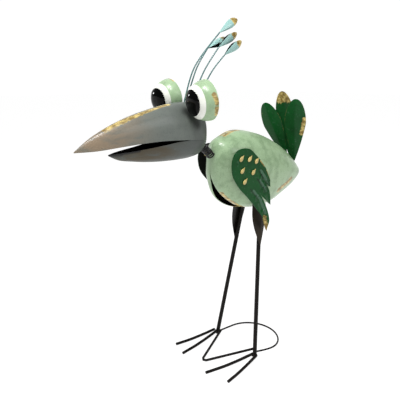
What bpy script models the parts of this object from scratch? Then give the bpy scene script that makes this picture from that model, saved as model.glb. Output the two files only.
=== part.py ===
"""A metal garden bird with a long beak, standing on two wire feet.

Pressed and cut sheet pieces on round rods. The bird faces -Y and its left side is +X. Heights and places along Y
are taken from between the ankles until the last step, which stands the bird on its own outline's middle.
"""

import math

import bmesh
import bpy
from mathutils import Vector
from mathutils.bvhtree import BVHTree

# Fits
FIT_GAP = 0.0003
SEAT_TOLERANCE = 0.00002
SEAT_REACH = 0.030
SEAT_STEPS = 80

# Sheet and rods
SHEET = 0.0010
SPOON_SHEET = 0.0008
LEG_DIAMETER = 0.0084
TOE_DIAMETER = 0.0058
INNER_TOE_DIAMETER = 0.0050
HOOP_DIAMETER = 0.0036
CREST_WIRE_DIAMETER = 0.0025
ROD_SIDES = 8

# Feet and legs: the ground under the feet, and the legs' line from the ankle at height zero
FEET_GROUND = 0.0015
ANKLE_HALF_SPREAD = 0.0581
ANKLE_BACK = -0.0039
LEG_FOOT_HEIGHT = 0.0037
LEG_LEAN_IN = 0.1133
LEG_LEAN_BACK = 0.1200
# Tips of the toes of each foot: out from the middle, back
MIDDLE_TOE_TIPS = {"left": (0.0355, -0.1149), "right": (0.0442, -0.1099)}
OUTER_TOE_TIPS = {"left": (0.0826, -0.0996), "right": (0.0795, -0.1013)}
INNER_TOE_REACH = 0.0918
INNER_TOE_BEND_RADIUS = 0.0050
INNER_TOE_HEEL_BACK = 0.0020
TOE_HEEL_RISE = 0.0068
TOE_HEEL_RUN = 0.0720
OUTER_TOE_HEEL_AHEAD = 0.0030
# How high the inner toe and the hoop join each leg, and how far behind the ankle the hoop comes down
INNER_TOE_RISE = {"left": 0.0120, "right": 0.0095}
HOOP_RADIUS = 0.0605
HOOP_CENTRE_BACK = 0.0418
HOOP_HEEL_RISE = {"left": 0.0090, "right": 0.0040}
HOOP_HEEL_RUN = {"left": 0.0850, "right": 0.0400}
HOOP_STEPS = 14

# Thigh leaves, whose point starts this high up the leg rod
THIGH_LENGTH = 0.0850
THIGH_FRONT_WIDTH = 0.0240
THIGH_REAR_WIDTH = 0.0115
THIGH_FOLD = math.radians(84)
THIGH_ROWS = 9

# Body: two domes that meet at their rims
BODY_LENGTH = 0.2500
BODY_HEIGHT = 0.1580
BODY_HALF_WIDTH = 0.0475
BODY_POLE_BACK = 0.0080
BODY_POLE_HEIGHT = 0.3850
# Tip of each thigh leaf, below the body's pole
THIGH_TIP_HEIGHT = BODY_POLE_HEIGHT - 0.1590
# The shells part at the lower front, where the right one also hangs lower
BODY_PARTING = {"left": 0.0030, "right": 0.0140}
BODY_DROP = {"left": 0.0, "right": 0.0065}
PARTING_START = math.radians(172)
PARTING_REACH = math.radians(112)
BODY_EDGE = 0.0015
BODY_ROUND = 32
BODY_RINGS = 6
# Rim of the body seen from its left: shares of its length and of its height from the pole
BODY_OUTLINE = (
    (-0.340, 0.076), (-0.318, 0.330), (-0.232, 0.431), (-0.089, 0.486), (0.137, 0.408), (0.337, 0.266),
    (0.480, 0.116), (0.588, -0.042), (0.628, -0.160), (0.540, -0.285), (0.424, -0.376), (0.270, -0.473),
    (0.110, -0.503), (-0.052, -0.459), (-0.172, -0.354), (-0.263, -0.227), (-0.326, -0.060),
)

# Head and beak: the seam's rear point, and the sizes that the shares below multiply
HEAD_BACK = -0.0905
HEAD_SEAM_HEIGHT = 0.4510
HEAD_LENGTH = 0.2455
HEAD_HEIGHT = 0.0655
HEAD_HALF_WIDTH = 0.0310
HEAD_FULLNESS = 3.0
HEAD_ROWS = 19
HEAD_STEPS = 6
# Ridge forward, ridge up, edge forward, edge out, edge up, from the tip to the back
UPPER_BEAK = (
    (1.000, 0.030, 0.998, 0.020, 0.010), (0.890, 0.308, 0.866, 0.290, 0.015), (0.749, 0.556, 0.719, 0.548, 0.066),
    (0.602, 0.745, 0.572, 0.742, 0.110), (0.448, 0.884, 0.430, 0.903, 0.130), (0.299, 0.985, 0.287, 1.000, 0.111),
    (0.165, 0.990, 0.165, 0.984, 0.076), (0.059, 0.733, 0.067, 0.726, 0.038), (0.010, 0.397, 0.020, 0.355, 0.015),
    (0.000, 0.060, 0.000, 0.020, 0.000),
)
# The same five shares for the lower beak's front, its keel first, as far as the corner of the mouth
LOWER_BEAK_FRONT = (
    (0.774, -0.150, 0.776, 0.020, -0.122), (0.703, -0.281, 0.711, 0.290, -0.101),
    (0.613, -0.347, 0.629, 0.468, -0.073), (0.511, -0.403, 0.540, 0.597, -0.041),
    (0.401, -0.438, 0.426, 0.774, 0.012), (0.295, -0.449, 0.308, 0.935, 0.073),
)
# Keel of the lower beak behind the corner of the mouth, forward and up
LOWER_BEAK_KEEL = (
    (0.226, -0.444), (0.165, -0.430), (0.096, -0.382), (0.047, -0.267), (0.016, -0.160), (0.001, -0.038),
)
MOUTH_CORNER_ROW = 11

# Eyes: domes that face forward, open behind
EYE_RADIUS = 0.0340
EYE_DEPTH = 0.0320
EYE_HEIGHT = HEAD_SEAM_HEIGHT + 0.0707
EYE_BACK = HEAD_BACK - 0.0360
EYE_HALF_SPREAD = 0.0508
EYE_TOE_IN = {"left": math.radians(7.0), "right": math.radians(1.0)}
EYE_TILT_DOWN = math.radians(7.9)
EYE_WHITE_RADIUS = 0.0272
EYE_WHITE_THICKNESS = 0.0010
PUPIL_RADIUS = 0.0200
PUPIL_THICKNESS = 0.0012
EYE_ROUND = 20
EYE_RINGS = 5
EYE_CAP_RINGS = 3

# Neck spring
SPRING_DIAMETER = 0.0152
SPRING_WIRE = 0.0028
SPRING_PITCH = 0.0038
# Back and height of its ends: the upper from the head's seam point, the lower from the body's pole
SPRING_TOP = (HEAD_BACK - 0.0055, HEAD_SEAM_HEIGHT - 0.0125)
SPRING_BOTTOM = (BODY_POLE_BACK - 0.0780, BODY_POLE_HEIGHT + 0.0280)
SPRING_STEPS = 8

# Crest: four wires on the crown, each with a deep spoon at its end
CREST_ROOT_PITCH = 0.0027
CREST_STEPS = 6
SPOON_HALF_WIDTH = 0.0060
SPOON_DEPTH = 0.0130
SPOON_BOW = 0.5
SPOON_ROWS = 6
SPOON_COLUMNS = 3
# From the head's seam point: each wire's root back, its middle and its end (across, back, up), its spoon's tip;
# then the way that the spoon opens
CREST = (
    (-0.0370, (-0.0080, -0.0116, 0.1190), (-0.0120, 0.0170, 0.1541), (-0.0120, 0.0588, 0.1729),
     (0.76, 0.1, -0.64)),
    (-0.0430, (-0.0022, -0.0187, 0.1242), (-0.0040, 0.0362, 0.1793), (-0.0040, 0.0768, 0.2031),
     (-0.66, -0.22, 0.72)),
    (-0.0305, (0.0027, -0.0045, 0.1140), (0.0040, 0.0282, 0.1554), (0.0040, 0.0688, 0.1791),
     (-0.22, -0.53, 0.82)),
    (-0.0245, (0.0085, 0.0063, 0.1117), (0.0130, 0.0337, 0.1426), (0.0130, 0.0720, 0.1653),
     (-0.22, -0.53, 0.82)),
)

# Wings: a plate that stands beside the body, cut into three pointed feathers
WING_STAND = 0.0492
WING_CURL = 0.0035
# The plate is flat as far as these places from the shoulder, and curls towards the body beyond them
WING_FLAT_AHEAD = 0.0050
WING_FLAT_BELOW = 0.0700
WING_AHEAD_REACH = 0.0400
WING_BELOW_REACH = 0.0700
WING_AHEAD_SHARE = 0.35
WING_BELOW_SHARE = 0.50
WING_SHOULDER = (BODY_POLE_BACK - 0.0380, BODY_POLE_HEIGHT + 0.0200)
WING_TURN = {"left": 0.0, "right": math.radians(8.0)}
# Outline from the shoulder, back and up
WING_OUTLINE = (
    (-0.0318, -0.0213), (-0.0362, -0.0045), (-0.0346, 0.0130), (-0.0251, 0.0261), (-0.0100, 0.0298),
    (0.0070, 0.0268), (0.0225, 0.0150), (0.0395, -0.0010), (0.0525, -0.0170), (0.0610, -0.0350),
    (0.0662, -0.0515), (0.0575, -0.0475), (0.0480, -0.0364), (0.0575, -0.0530), (0.0650, -0.0700),
    (0.0693, -0.0885), (0.0570, -0.0800), (0.0383, -0.0623), (0.0490, -0.0795), (0.0590, -0.0990),
    (0.0645, -0.1160), (0.0628, -0.1410), (0.0562, -0.1315), (0.0450, -0.1085), (0.0270, -0.0875),
    (0.0034, -0.0624), (-0.0180, -0.0415),
)
WING_CUT_STEPS = 12
WING_MARGIN = 0.0060

# Tail: three oval feathers on the seam of the body, which point at one place inside it
TAIL_AIM = (0.0, BODY_POLE_BACK + 0.564 * BODY_LENGTH, BODY_POLE_HEIGHT - 0.038 * BODY_HEIGHT)
TAIL_AIM_HALF_SPREAD = 0.0075
# Tips of the feathers from that place: across, back and up
TAIL_TIP_REACH = {
    "middle": (-0.0015, -0.0410, 0.1495),
    "left": (0.0409, -0.0446, 0.1363),
    "right": (-0.0409, -0.0447, 0.1253),
}
TAIL_LAYER = 0.0035
TAIL_TURN = {"left": math.radians(30), "middle": math.radians(14), "right": math.radians(20)}
FEATHER_HALF_WIDTH = 0.0212
FEATHER_FOLD = 0.0050
FEATHER_ROWS = 9
FEATHER_COLUMNS = 2

STATUE_NAME = "toucan_statue"

MINT = (0.42, 0.62, 0.40, 1.0)
LEAF_GREEN = (0.02, 0.13, 0.05, 1.0)
BEAK_GREY = (0.20, 0.22, 0.21, 1.0)
AQUA = (0.35, 0.60, 0.60, 1.0)
ROD_BLACK = (0.03, 0.025, 0.02, 1.0)
EYE_WHITE = (0.85, 0.85, 0.80, 1.0)
PUPIL_BLACK = (0.01, 0.01, 0.01, 1.0)


def clear_scene():
    """Remove every object of the scene."""
    for item in list(bpy.data.objects):
        bpy.data.objects.remove(item, do_unlink=True)


def new_collection(name):
    """Return a new collection that is linked to the scene."""
    made = bpy.data.collections.new(name)
    bpy.context.scene.collection.children.link(made)
    return made


def paint(name, colour, roughness, metallic):
    """Return a plain Principled material."""
    made = bpy.data.materials.new(name + "_finish")
    made.use_nodes = True
    shader = made.node_tree.nodes["Principled BSDF"]
    shader.inputs["Base Color"].default_value = colour
    shader.inputs["Roughness"].default_value = roughness
    shader.inputs["Metallic"].default_value = metallic
    return made


def add_object(name, data, colour, roughness=0.45, metallic=0.2):
    """Link a mesh or curve to the statue's collection with a material of its own."""
    made = bpy.data.objects.new(name, data)
    data.materials.append(paint(name, colour, roughness, metallic))
    statue.objects.link(made)
    return made


def spline_row(before, start, end, after, share):
    """Return a row of values on a Catmull-Rom stretch from start to end."""
    row = []
    for a, b, c, d in zip(before, start, end, after):
        pull = c - a
        bend = 2 * a - 5 * b + 4 * c - d
        twist = 3 * b - a - 3 * c + d
        row.append(b + 0.5 * share * (pull + share * (bend + share * twist)))
    return tuple(row)


def smooth_rows(table, count, closed=False):
    """Return evenly spaced rows on a smooth curve through a table of rows."""
    size = len(table)
    spans = size if closed else size - 1
    rows = []
    for index in range(count):
        place = spans * index / (count if closed else count - 1)
        first = min(int(place), spans - 1)
        picks = []
        for offset in (-1, 0, 1, 2):
            pick = first + offset
            picks.append(table[pick % size] if closed else table[max(0, min(size - 1, pick))])
        rows.append(spline_row(*picks, place - first))
    return rows


def surface_mesh(name, rows, inside, closed=False):
    """Return an open mesh through rows of points, its faces turned away from a point inside."""
    made = bmesh.new()
    grid = [[made.verts.new(point) for point in row] for row in rows]
    for lower, upper in zip(grid, grid[1:]):
        width = len(lower)
        for index in range(width if closed else width - 1):
            after = (index + 1) % width
            made.faces.new((lower[index], lower[after], upper[after], upper[index]))
    bmesh.ops.remove_doubles(made, verts=made.verts, dist=0.00005)
    bmesh.ops.recalc_face_normals(made, faces=made.faces)
    outward = sum((face.calc_center_median() - Vector(inside)).dot(face.normal) for face in made.faces)
    if outward < 0:
        bmesh.ops.reverse_faces(made, faces=made.faces)
    mesh = bpy.data.meshes.new(name)
    made.to_mesh(mesh)
    made.free()
    mesh.shade_smooth()
    return mesh


def sheet(name, rows, inside, colour, thickness=SHEET, closed=False, side=-1.0):
    """Add an open surface with a wall, on its inner side unless side says otherwise."""
    made = add_object(name, surface_mesh(name, rows, inside, closed), colour)
    wall = made.modifiers.new("wall", "SOLIDIFY")
    wall.thickness = thickness
    wall.offset = side
    wall.thickness_clamp = 0.9
    wall.use_even_offset = False
    return made


def rod(name, points, diameter, colour, resolution=2):
    """Add a round rod along a list of points, with one of its facets facing down."""
    curve = bpy.data.curves.new(name, "CURVE")
    curve.dimensions = "3D"
    curve.bevel_depth = diameter / 2
    curve.bevel_resolution = resolution
    curve.use_fill_caps = True
    curve.twist_mode = "Z_UP"
    line = curve.splines.new("POLY")
    line.points.add(len(points) - 1)
    sides = 4 + 2 * resolution
    for place, point in zip(line.points, points):
        place.co = (*point, 1.0)
        place.tilt = math.pi / sides
    return add_object(name, curve, colour)


def world_shape(pieces):
    """Return the evaluated vertices and faces of some pieces."""
    bpy.context.view_layer.update()
    graph = bpy.context.evaluated_depsgraph_get()
    vertices = []
    faces = []
    for piece in pieces:
        evaluated = piece.evaluated_get(graph)
        mesh = evaluated.to_mesh()
        start = len(vertices)
        vertices.extend(piece.matrix_world @ vertex.co for vertex in mesh.vertices)
        faces.extend([start + corner for corner in face.vertices] for face in mesh.polygons)
        evaluated.to_mesh_clear()
    return vertices, faces


def seat(pieces, carriers, direction, reach=SEAT_REACH):
    """Draw pieces back and slide them along a direction until a fit gap is left to their carriers.

    Pieces that meet nothing stay where they were.
    """
    heading = Vector(direction).normalized()
    carrier_vertices, carrier_faces = world_shape(carriers)
    carrier_tree = BVHTree.FromPolygons(carrier_vertices, carrier_faces)
    vertices, faces = world_shape(pieces)
    travel = -reach
    for _ in range(SEAT_STEPS):
        moved = [vertex + heading * travel for vertex in vertices]
        tree = BVHTree.FromPolygons(moved, faces)
        near = min(carrier_tree.find_nearest(vertex)[3] for vertex in moved)
        near = min(near, min(tree.find_nearest(vertex)[3] for vertex in carrier_vertices))
        if near - FIT_GAP < SEAT_TOLERANCE:
            break
        travel += near - FIT_GAP
        if travel > reach:
            travel = 0.0
            break
    for piece in pieces:
        piece.location += heading * travel


def free_run(start, heading, radius, carriers):
    """Return how far a rod of this radius runs from start before it meets a carrier."""
    tree = BVHTree.FromPolygons(*world_shape(carriers))
    heading = Vector(heading).normalized()
    across = heading.orthogonal().normalized()
    around = heading.cross(across)
    runs = []
    for index in range(2 * ROD_SIDES):
        angle = math.pi * index / ROD_SIDES
        offset = across * math.cos(angle) + around * math.sin(angle)
        hit = tree.ray_cast(Vector(start) + offset * radius, heading)
        if hit[0] is not None:
            runs.append(hit[3])
    return min(runs) - FIT_GAP


def body_rim():
    """Return the rim of the body as points (back, height) in the middle plane."""
    table = []
    for along, up in BODY_OUTLINE:
        table.append((BODY_POLE_BACK + along * BODY_LENGTH, BODY_POLE_HEIGHT + up * BODY_HEIGHT))
    return smooth_rows(table, BODY_ROUND, closed=True)


def parting_share(back, height):
    """Return how far the shells part at a rim point, as a share of the most."""
    angle = math.atan2(height - BODY_POLE_HEIGHT, back - BODY_POLE_BACK) % (2 * math.pi)
    share = (angle - PARTING_START) / PARTING_REACH
    if not 0 < share < 1:
        return 0.0
    return math.sin(math.pi * share ** 1.15) ** 1.6


def make_body():
    """Add the two domed shells of the body."""
    shells = []
    for hand, side in (("left", 1), ("right", -1)):
        rim = []
        for back, height in body_rim():
            share = parting_share(back, height)
            y = back - BODY_POLE_BACK
            z = height - BODY_POLE_HEIGHT
            reach = 1 + BODY_DROP[hand] * share / math.hypot(y, z)
            rim.append((FIT_GAP / 2 + BODY_PARTING[hand] * share, y * reach, z * reach))
        rows = [[(side * out, BODY_POLE_BACK + y, BODY_POLE_HEIGHT + z) for out, y, z in rim]]
        for ring in range(BODY_RINGS + 1):
            lift = ring / BODY_RINGS * math.pi / 2
            row = []
            for out, y, z in rim:
                edge = out + BODY_EDGE
                across = edge + (BODY_HALF_WIDTH - edge) * math.sin(lift)
                back = BODY_POLE_BACK + y * math.cos(lift)
                height = BODY_POLE_HEIGHT + z * math.cos(lift)
                row.append((side * across, back, height))
            rows.append(row)
        inside = (0.0, BODY_POLE_BACK, BODY_POLE_HEIGHT)
        shells.append(sheet(hand + "_body_shell", rows, inside, MINT, closed=True))
    return shells


def head_point(forward, out, up):
    """Return a point of the head from its shares of length, width and height."""
    return (out * HEAD_HALF_WIDTH, HEAD_BACK - forward * HEAD_LENGTH, HEAD_SEAM_HEIGHT + up * HEAD_HEIGHT)


def head_section(ridge, edge, fullness=2.0):
    """Return a row of points from the left edge over the ridge to the right edge, rounder than 2 if fuller."""
    row = []
    for index in range(2 * HEAD_STEPS + 1):
        turn = math.pi / 2 * (1 - index / HEAD_STEPS)
        share = abs(math.cos(turn)) ** (2 / fullness)
        out = math.copysign(abs(math.sin(turn)) ** (2 / fullness), turn)
        y = edge[1] + (ridge[1] - edge[1]) * share
        z = edge[2] + (ridge[2] - edge[2]) * share
        row.append((edge[0] * out, y, z))
    return row


def upper_edges():
    """Return the rows (ridge, left edge) of the upper beak from the tip to the back."""
    rows = []
    for ahead, up, edge_ahead, edge_out, edge_up in smooth_rows(UPPER_BEAK, HEAD_ROWS):
        rows.append((head_point(ahead, 0.0, up), head_point(edge_ahead, edge_out, edge_up)))
    return rows


def make_head():
    """Add the upper shell of head and beak and the lower beak below its seam."""
    edges = upper_edges()
    middle = head_point(0.4, 0.0, 0.0)
    rows = []
    for index, (ridge, edge) in enumerate(edges):
        rows.append(head_section(ridge, edge, 2 + (HEAD_FULLNESS - 2) * index / (HEAD_ROWS - 1)))
    upper = sheet("upper_beak_head", rows, middle, BEAK_GREY)
    seam = [edge for _, edge in edges[MOUTH_CORNER_ROW:]]
    front = []
    for ahead, up, edge_ahead, edge_out, edge_up in smooth_rows(LOWER_BEAK_FRONT, MOUTH_CORNER_ROW):
        front.append(head_section(head_point(ahead, 0.0, up), head_point(edge_ahead, edge_out, edge_up)))
    rear = []
    for (ahead, up), (x, y, z) in zip(smooth_rows(LOWER_BEAK_KEEL, len(seam)), seam):
        rear.append(head_section(head_point(ahead, 0.0, up), (x, y, z - FIT_GAP)))
    lower = sheet("lower_beak", front + rear, middle, BEAK_GREY)
    return upper, lower


def dome_rows(first, last, lift, count):
    """Return rings of an eye dome between two shares of its turn, lifted off it, facing -Y at the origin."""
    rows = []
    for index in range(count + 1):
        turn = first + (last - first) * index / count
        radius = (EYE_RADIUS - EYE_WHITE_THICKNESS + lift) * math.cos(turn)
        ahead = (EYE_DEPTH + lift) * math.sin(turn)
        row = []
        for step in range(EYE_ROUND):
            angle = 2 * math.pi * step / EYE_ROUND
            row.append((radius * math.cos(angle), -ahead, radius * math.sin(angle)))
        rows.append(row)
    return rows


def make_eyes(head):
    """Add both eyes: a dome, a white disc dished over it and a domed pupil."""
    top = math.pi / 2
    white_turn = math.acos(EYE_WHITE_RADIUS / EYE_RADIUS)
    pupil_turn = math.acos(PUPIL_RADIUS / EYE_RADIUS)
    white_lift = FIT_GAP
    pupil_lift = white_lift + EYE_WHITE_THICKNESS + FIT_GAP
    for name, side in (("left", 1), ("right", -1)):
        pieces = [
            sheet(name + "_eye_dome", dome_rows(0.0, top, 0.0, EYE_RINGS), (0, 0, 0), MINT, closed=True),
            sheet(name + "_eye_white", dome_rows(white_turn, top, white_lift, EYE_CAP_RINGS), (0, 0, 0), EYE_WHITE,
                  EYE_WHITE_THICKNESS, closed=True, side=1.0),
            sheet(name + "_pupil", dome_rows(pupil_turn, top, pupil_lift, EYE_CAP_RINGS), (0, 0, 0), PUPIL_BLACK,
                  PUPIL_THICKNESS, closed=True, side=1.0),
        ]
        for piece in pieces:
            piece.rotation_euler = (EYE_TILT_DOWN, 0.0, -side * EYE_TOE_IN[name])
            piece.location = (side * EYE_HALF_SPREAD, EYE_BACK, EYE_HEIGHT)
        seat(pieces, [head], (-side, 0, 0))


def make_spring(lower, shells):
    """Add the close-coiled spring between the back of the head and the chest."""
    top = Vector((0.0, *SPRING_TOP))
    heading = (Vector((0.0, *SPRING_BOTTOM)) - top).normalized()
    middle = top.lerp(Vector((0.0, *SPRING_BOTTOM)), 0.5)
    up_run = free_run(middle, -heading, SPRING_DIAMETER / 2, [lower])
    down_run = free_run(middle, heading, SPRING_DIAMETER / 2, shells)
    wire = SPRING_WIRE / 2
    length = up_run + down_run - SPRING_WIRE
    start = middle - heading * (up_run - wire)
    across = Vector((1.0, 0.0, 0.0))
    around = heading.cross(across)
    turns = length / SPRING_PITCH
    count = round(turns * SPRING_STEPS)
    radius = SPRING_DIAMETER / 2 - wire
    points = []
    for index in range(count + 1):
        share = index / count
        angle = 2 * math.pi * turns * share
        spoke = across * math.cos(angle) + around * math.sin(angle)
        points.append(start + heading * (length * share) + spoke * radius)
    return rod("neck_spring", points, SPRING_WIRE, ROD_BLACK, resolution=1)


def leaf_rows(root, tip, side_way, half_width, profile, lift, rows, columns):
    """Return rows across a leaf from root to tip, each row raised by a lift function of its place."""
    root = Vector(root)
    tip = Vector(tip)
    along = (tip - root).normalized()
    across = Vector(side_way)
    across = (across - along * across.dot(along)).normalized()
    normal = across.cross(along)
    made = []
    for index in range(rows + 1):
        share = math.sin(math.pi / 2 * index / rows)
        wide = half_width * profile(share)
        row = []
        for step in range(-columns, columns + 1):
            part = math.sin(math.pi / 2 * step / columns)
            row.append(root.lerp(tip, share) + across * (wide * part) + normal * lift(share, part))
        made.append(row)
    return made


def spoon_profile(share):
    """Return the half-width of a crest spoon as a share of its widest."""
    return 0.16 + 0.84 * math.sin(math.pi * min(0.985, share) ** 1.60) ** 0.65


def feather_profile(share):
    """Return the half-width of a tail feather as a share of its widest."""
    rounded = math.sqrt(max(0.0, 1 - (max(0.0, share - 0.62) / 0.381) ** 2))
    return max(0.06, min(1.0, 0.08 + 1.9 * share - 0.72 * share * share) * rounded)


def make_crest(head):
    """Add the four crest wires on the crown and their spoons."""
    tree = BVHTree.FromPolygons(*world_shape([head]))
    radius = CREST_WIRE_DIAMETER / 2
    seam = Vector((0, HEAD_BACK, HEAD_SEAM_HEIGHT))
    for index, (root_reach, middle_reach, end_reach, tip_reach, opening) in enumerate(CREST):
        root_back = HEAD_BACK + root_reach
        middle = tuple(seam + Vector(middle_reach))
        end = tuple(seam + Vector(end_reach))
        tip = tuple(seam + Vector(tip_reach))
        across = CREST_ROOT_PITCH * (index - (len(CREST) - 1) / 2)
        heights = []
        for dx, dy in ((radius, 0), (-radius, 0), (0, radius), (0, -radius)):
            heights.append(tree.ray_cast(Vector((across + dx, root_back + dy, 1.0)), Vector((0, 0, -1)))[0].z)
        root = Vector((across, root_back, max(heights) + FIT_GAP))
        stem = root + Vector((0, 0, CREST_WIRE_DIAMETER))
        lead = stem.lerp(Vector(middle), -0.4)
        bent = smooth_rows((tuple(lead), tuple(stem), middle, end), 3 * CREST_STEPS)[CREST_STEPS:]
        rod("crest_wire_%d" % (index + 1), [tuple(root)] + bent, CREST_WIRE_DIAMETER, AQUA, resolution=1)
        heading = (Vector(tip) - Vector(end)).normalized()
        start = Vector(end) + heading * (FIT_GAP + radius * 0.6)
        lip = Vector(opening)
        lip = (lip - heading * lip.dot(heading)).normalized()

        def bowl(share, part):
            return SPOON_DEPTH * spoon_profile(share) * (SPOON_BOW - math.sqrt(1 - part * part))

        rows = leaf_rows(start, tip, heading.cross(lip), SPOON_HALF_WIDTH, spoon_profile, bowl,
                         SPOON_ROWS, SPOON_COLUMNS)
        sheet("crest_spoon_%d" % (index + 1), rows, start.lerp(Vector(tip), 0.5) + lip, AQUA, SPOON_SHEET)


def wing_stand(y, z):
    """Return how far the wing stands from the middle plane at a place."""
    ahead = max(0.0, WING_SHOULDER[0] + WING_FLAT_AHEAD - y) / WING_AHEAD_REACH
    below = max(0.0, WING_SHOULDER[1] - WING_FLAT_BELOW - z) / WING_BELOW_REACH
    return WING_STAND - WING_CURL * (WING_AHEAD_SHARE * ahead ** 2 + WING_BELOW_SHARE * below ** 2)


def turned_outline(turn):
    """Return the wing's outline turned about its shoulder, its fingers to the rear."""
    middle_back, middle_height = WING_SHOULDER
    points = []
    for y, z in WING_OUTLINE:
        points.append((middle_back + y * math.cos(turn) - z * math.sin(turn),
                       middle_height + y * math.sin(turn) + z * math.cos(turn)))
    return points


def make_wings(shells):
    """Add the wings: a curved plate cut by the wing's outline."""
    for hand, side, shell in (("left", 1, shells[0]), ("right", -1, shells[1])):
        name = hand + "_wing"
        outline_points = turned_outline(WING_TURN[hand])
        backs = [point[0] for point in outline_points]
        heights = [point[1] for point in outline_points]
        rows = []
        for index in range(WING_CUT_STEPS + 1):
            tall = max(heights) - min(heights) + 2 * WING_MARGIN
            z = min(heights) - WING_MARGIN + tall * index / WING_CUT_STEPS
            row = []
            for step in range(WING_CUT_STEPS + 1):
                wide = max(backs) - min(backs) + 2 * WING_MARGIN
                y = min(backs) - WING_MARGIN + wide * step / WING_CUT_STEPS
                row.append((side * wing_stand(y, z), y, z))
            rows.append(row)
        wing = sheet(name, rows, (0, BODY_POLE_BACK, BODY_POLE_HEIGHT), LEAF_GREEN)
        outline = bmesh.new()
        loops = []
        for x in (0.5 * WING_STAND, 1.5 * WING_STAND):
            loops.append([outline.verts.new((side * x, y, z)) for y, z in outline_points])
        count = len(outline_points)
        for index in range(count):
            after = (index + 1) % count
            outline.faces.new((loops[0][index], loops[0][after], loops[1][after], loops[1][index]))
        outline.faces.new(loops[0])
        outline.faces.new(loops[1])
        bmesh.ops.recalc_face_normals(outline, faces=outline.faces)
        mesh = bpy.data.meshes.new(name + "_outline")
        outline.to_mesh(mesh)
        outline.free()
        cutter = bpy.data.objects.new(name + "_outline", mesh)
        cutters.objects.link(cutter)
        cutter.hide_render = True
        cutter.display_type = "WIRE"
        cut = wing.modifiers.new("outline", "BOOLEAN")
        cut.operation = "INTERSECT"
        cut.object = cutter
        seat([wing], [shell], (-side, 0, 0))


def make_tail(shells):
    """Add the three tail feathers above the rear of the body."""
    aim = Vector(TAIL_AIM)
    behind = Vector((0, TAIL_LAYER, 0))
    aside = Vector((TAIL_AIM_HALF_SPREAD, 0, 0))
    plans = (
        ("middle", behind, behind, -0.5),
        ("left", aside, Vector(), 1.0),
        ("right", -aside, Vector(), 1.0),
    )
    for place, aim_step, tip_step, depth in plans:
        tip = aim + Vector(TAIL_TIP_REACH[place]) + tip_step
        down = aim + aim_step - tip
        run = free_run(tip, down, FEATHER_HALF_WIDTH * feather_profile(0.0), shells)
        root = tip + down.normalized() * run

        def fold(share, part):
            return depth * FEATHER_FOLD * feather_profile(share) * (1 - abs(part) ** 1.3)

        across = (math.cos(TAIL_TURN[place]), math.sin(TAIL_TURN[place]), 0)
        rows = leaf_rows(root, tip, across, FEATHER_HALF_WIDTH, feather_profile, fold,
                         FEATHER_ROWS, FEATHER_COLUMNS)
        sheet("tail_feather_" + place, rows, tip + Vector((0, 0.2, 0)), LEAF_GREEN)


def leg_line(side, height):
    """Return the point of a leg's centre line at a height."""
    across = side * (ANKLE_HALF_SPREAD - LEG_LEAN_IN * height)
    return Vector((across, ANKLE_BACK + LEG_LEAN_BACK * height, height))


def thigh_width(share):
    """Return the width of a thigh leaf as a share of its widest, from its point up."""
    return math.sin(math.pi / 2 * min(1.0, share / 0.85 + 0.03)) ** 1.1


def make_legs(shells):
    """Add the leg rods up to the body and the folded leaves round their tops."""
    for name, side, shell in (("left", 1, shells[0]), ("right", -1, shells[1])):
        foot = leg_line(side, LEG_FOOT_HEIGHT)
        heading = (leg_line(side, THIGH_TIP_HEIGHT) - foot).normalized()
        length = free_run(foot, heading, LEG_DIAMETER / 2, [shell])
        top = foot + heading * length
        rod(name + "_leg", (foot, top), LEG_DIAMETER, ROD_BLACK)
        outward = Vector((side, 0, 0))
        outward = (outward - heading * outward.dot(heading)).normalized()
        backward = heading.cross(outward) * side
        crease = (LEG_DIAMETER / 2 + FIT_GAP) / math.sin(THIGH_FOLD)
        bottom = leg_line(side, THIGH_TIP_HEIGHT)
        rows = []
        for index in range(THIGH_ROWS + 1):
            share = index / THIGH_ROWS
            centre = bottom + heading * (THIGH_LENGTH * share) + outward * crease
            row = []
            for part in (-1.0, -0.66, -0.33, 0.0, 0.5, 1.0):
                width = THIGH_FRONT_WIDTH if part < 0 else THIGH_REAR_WIDTH
                reach = abs(part) * width * thigh_width(share)
                way = backward * math.copysign(math.sin(THIGH_FOLD), part) - outward * math.cos(THIGH_FOLD)
                row.append(centre + way * reach if part else centre)
            rows.append(row)
        thigh = sheet(name + "_thigh", rows, bottom - outward * 0.1, ROD_BLACK, side=1.0)
        seat([thigh], [shell], heading)


def toe_path(heel, tip, radius):
    """Return a toe's centre line: it comes down from its heel and lies flat on the ground towards its tip."""
    heel = Vector((*heel, 0.0))
    tip = Vector((*tip, 0.0))
    ground = FEET_GROUND + radius * math.cos(math.pi / ROD_SIDES)
    run = (tip - heel).normalized()
    points = []
    for share in (0.0, 0.25, 0.5, 0.75, 1.0):
        place = heel + run * (TOE_HEEL_RUN * share)
        points.append((place.x, place.y, ground + TOE_HEEL_RISE * (1 - share) ** 1.5))
    points.append((tip.x, tip.y, ground))
    return points


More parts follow.
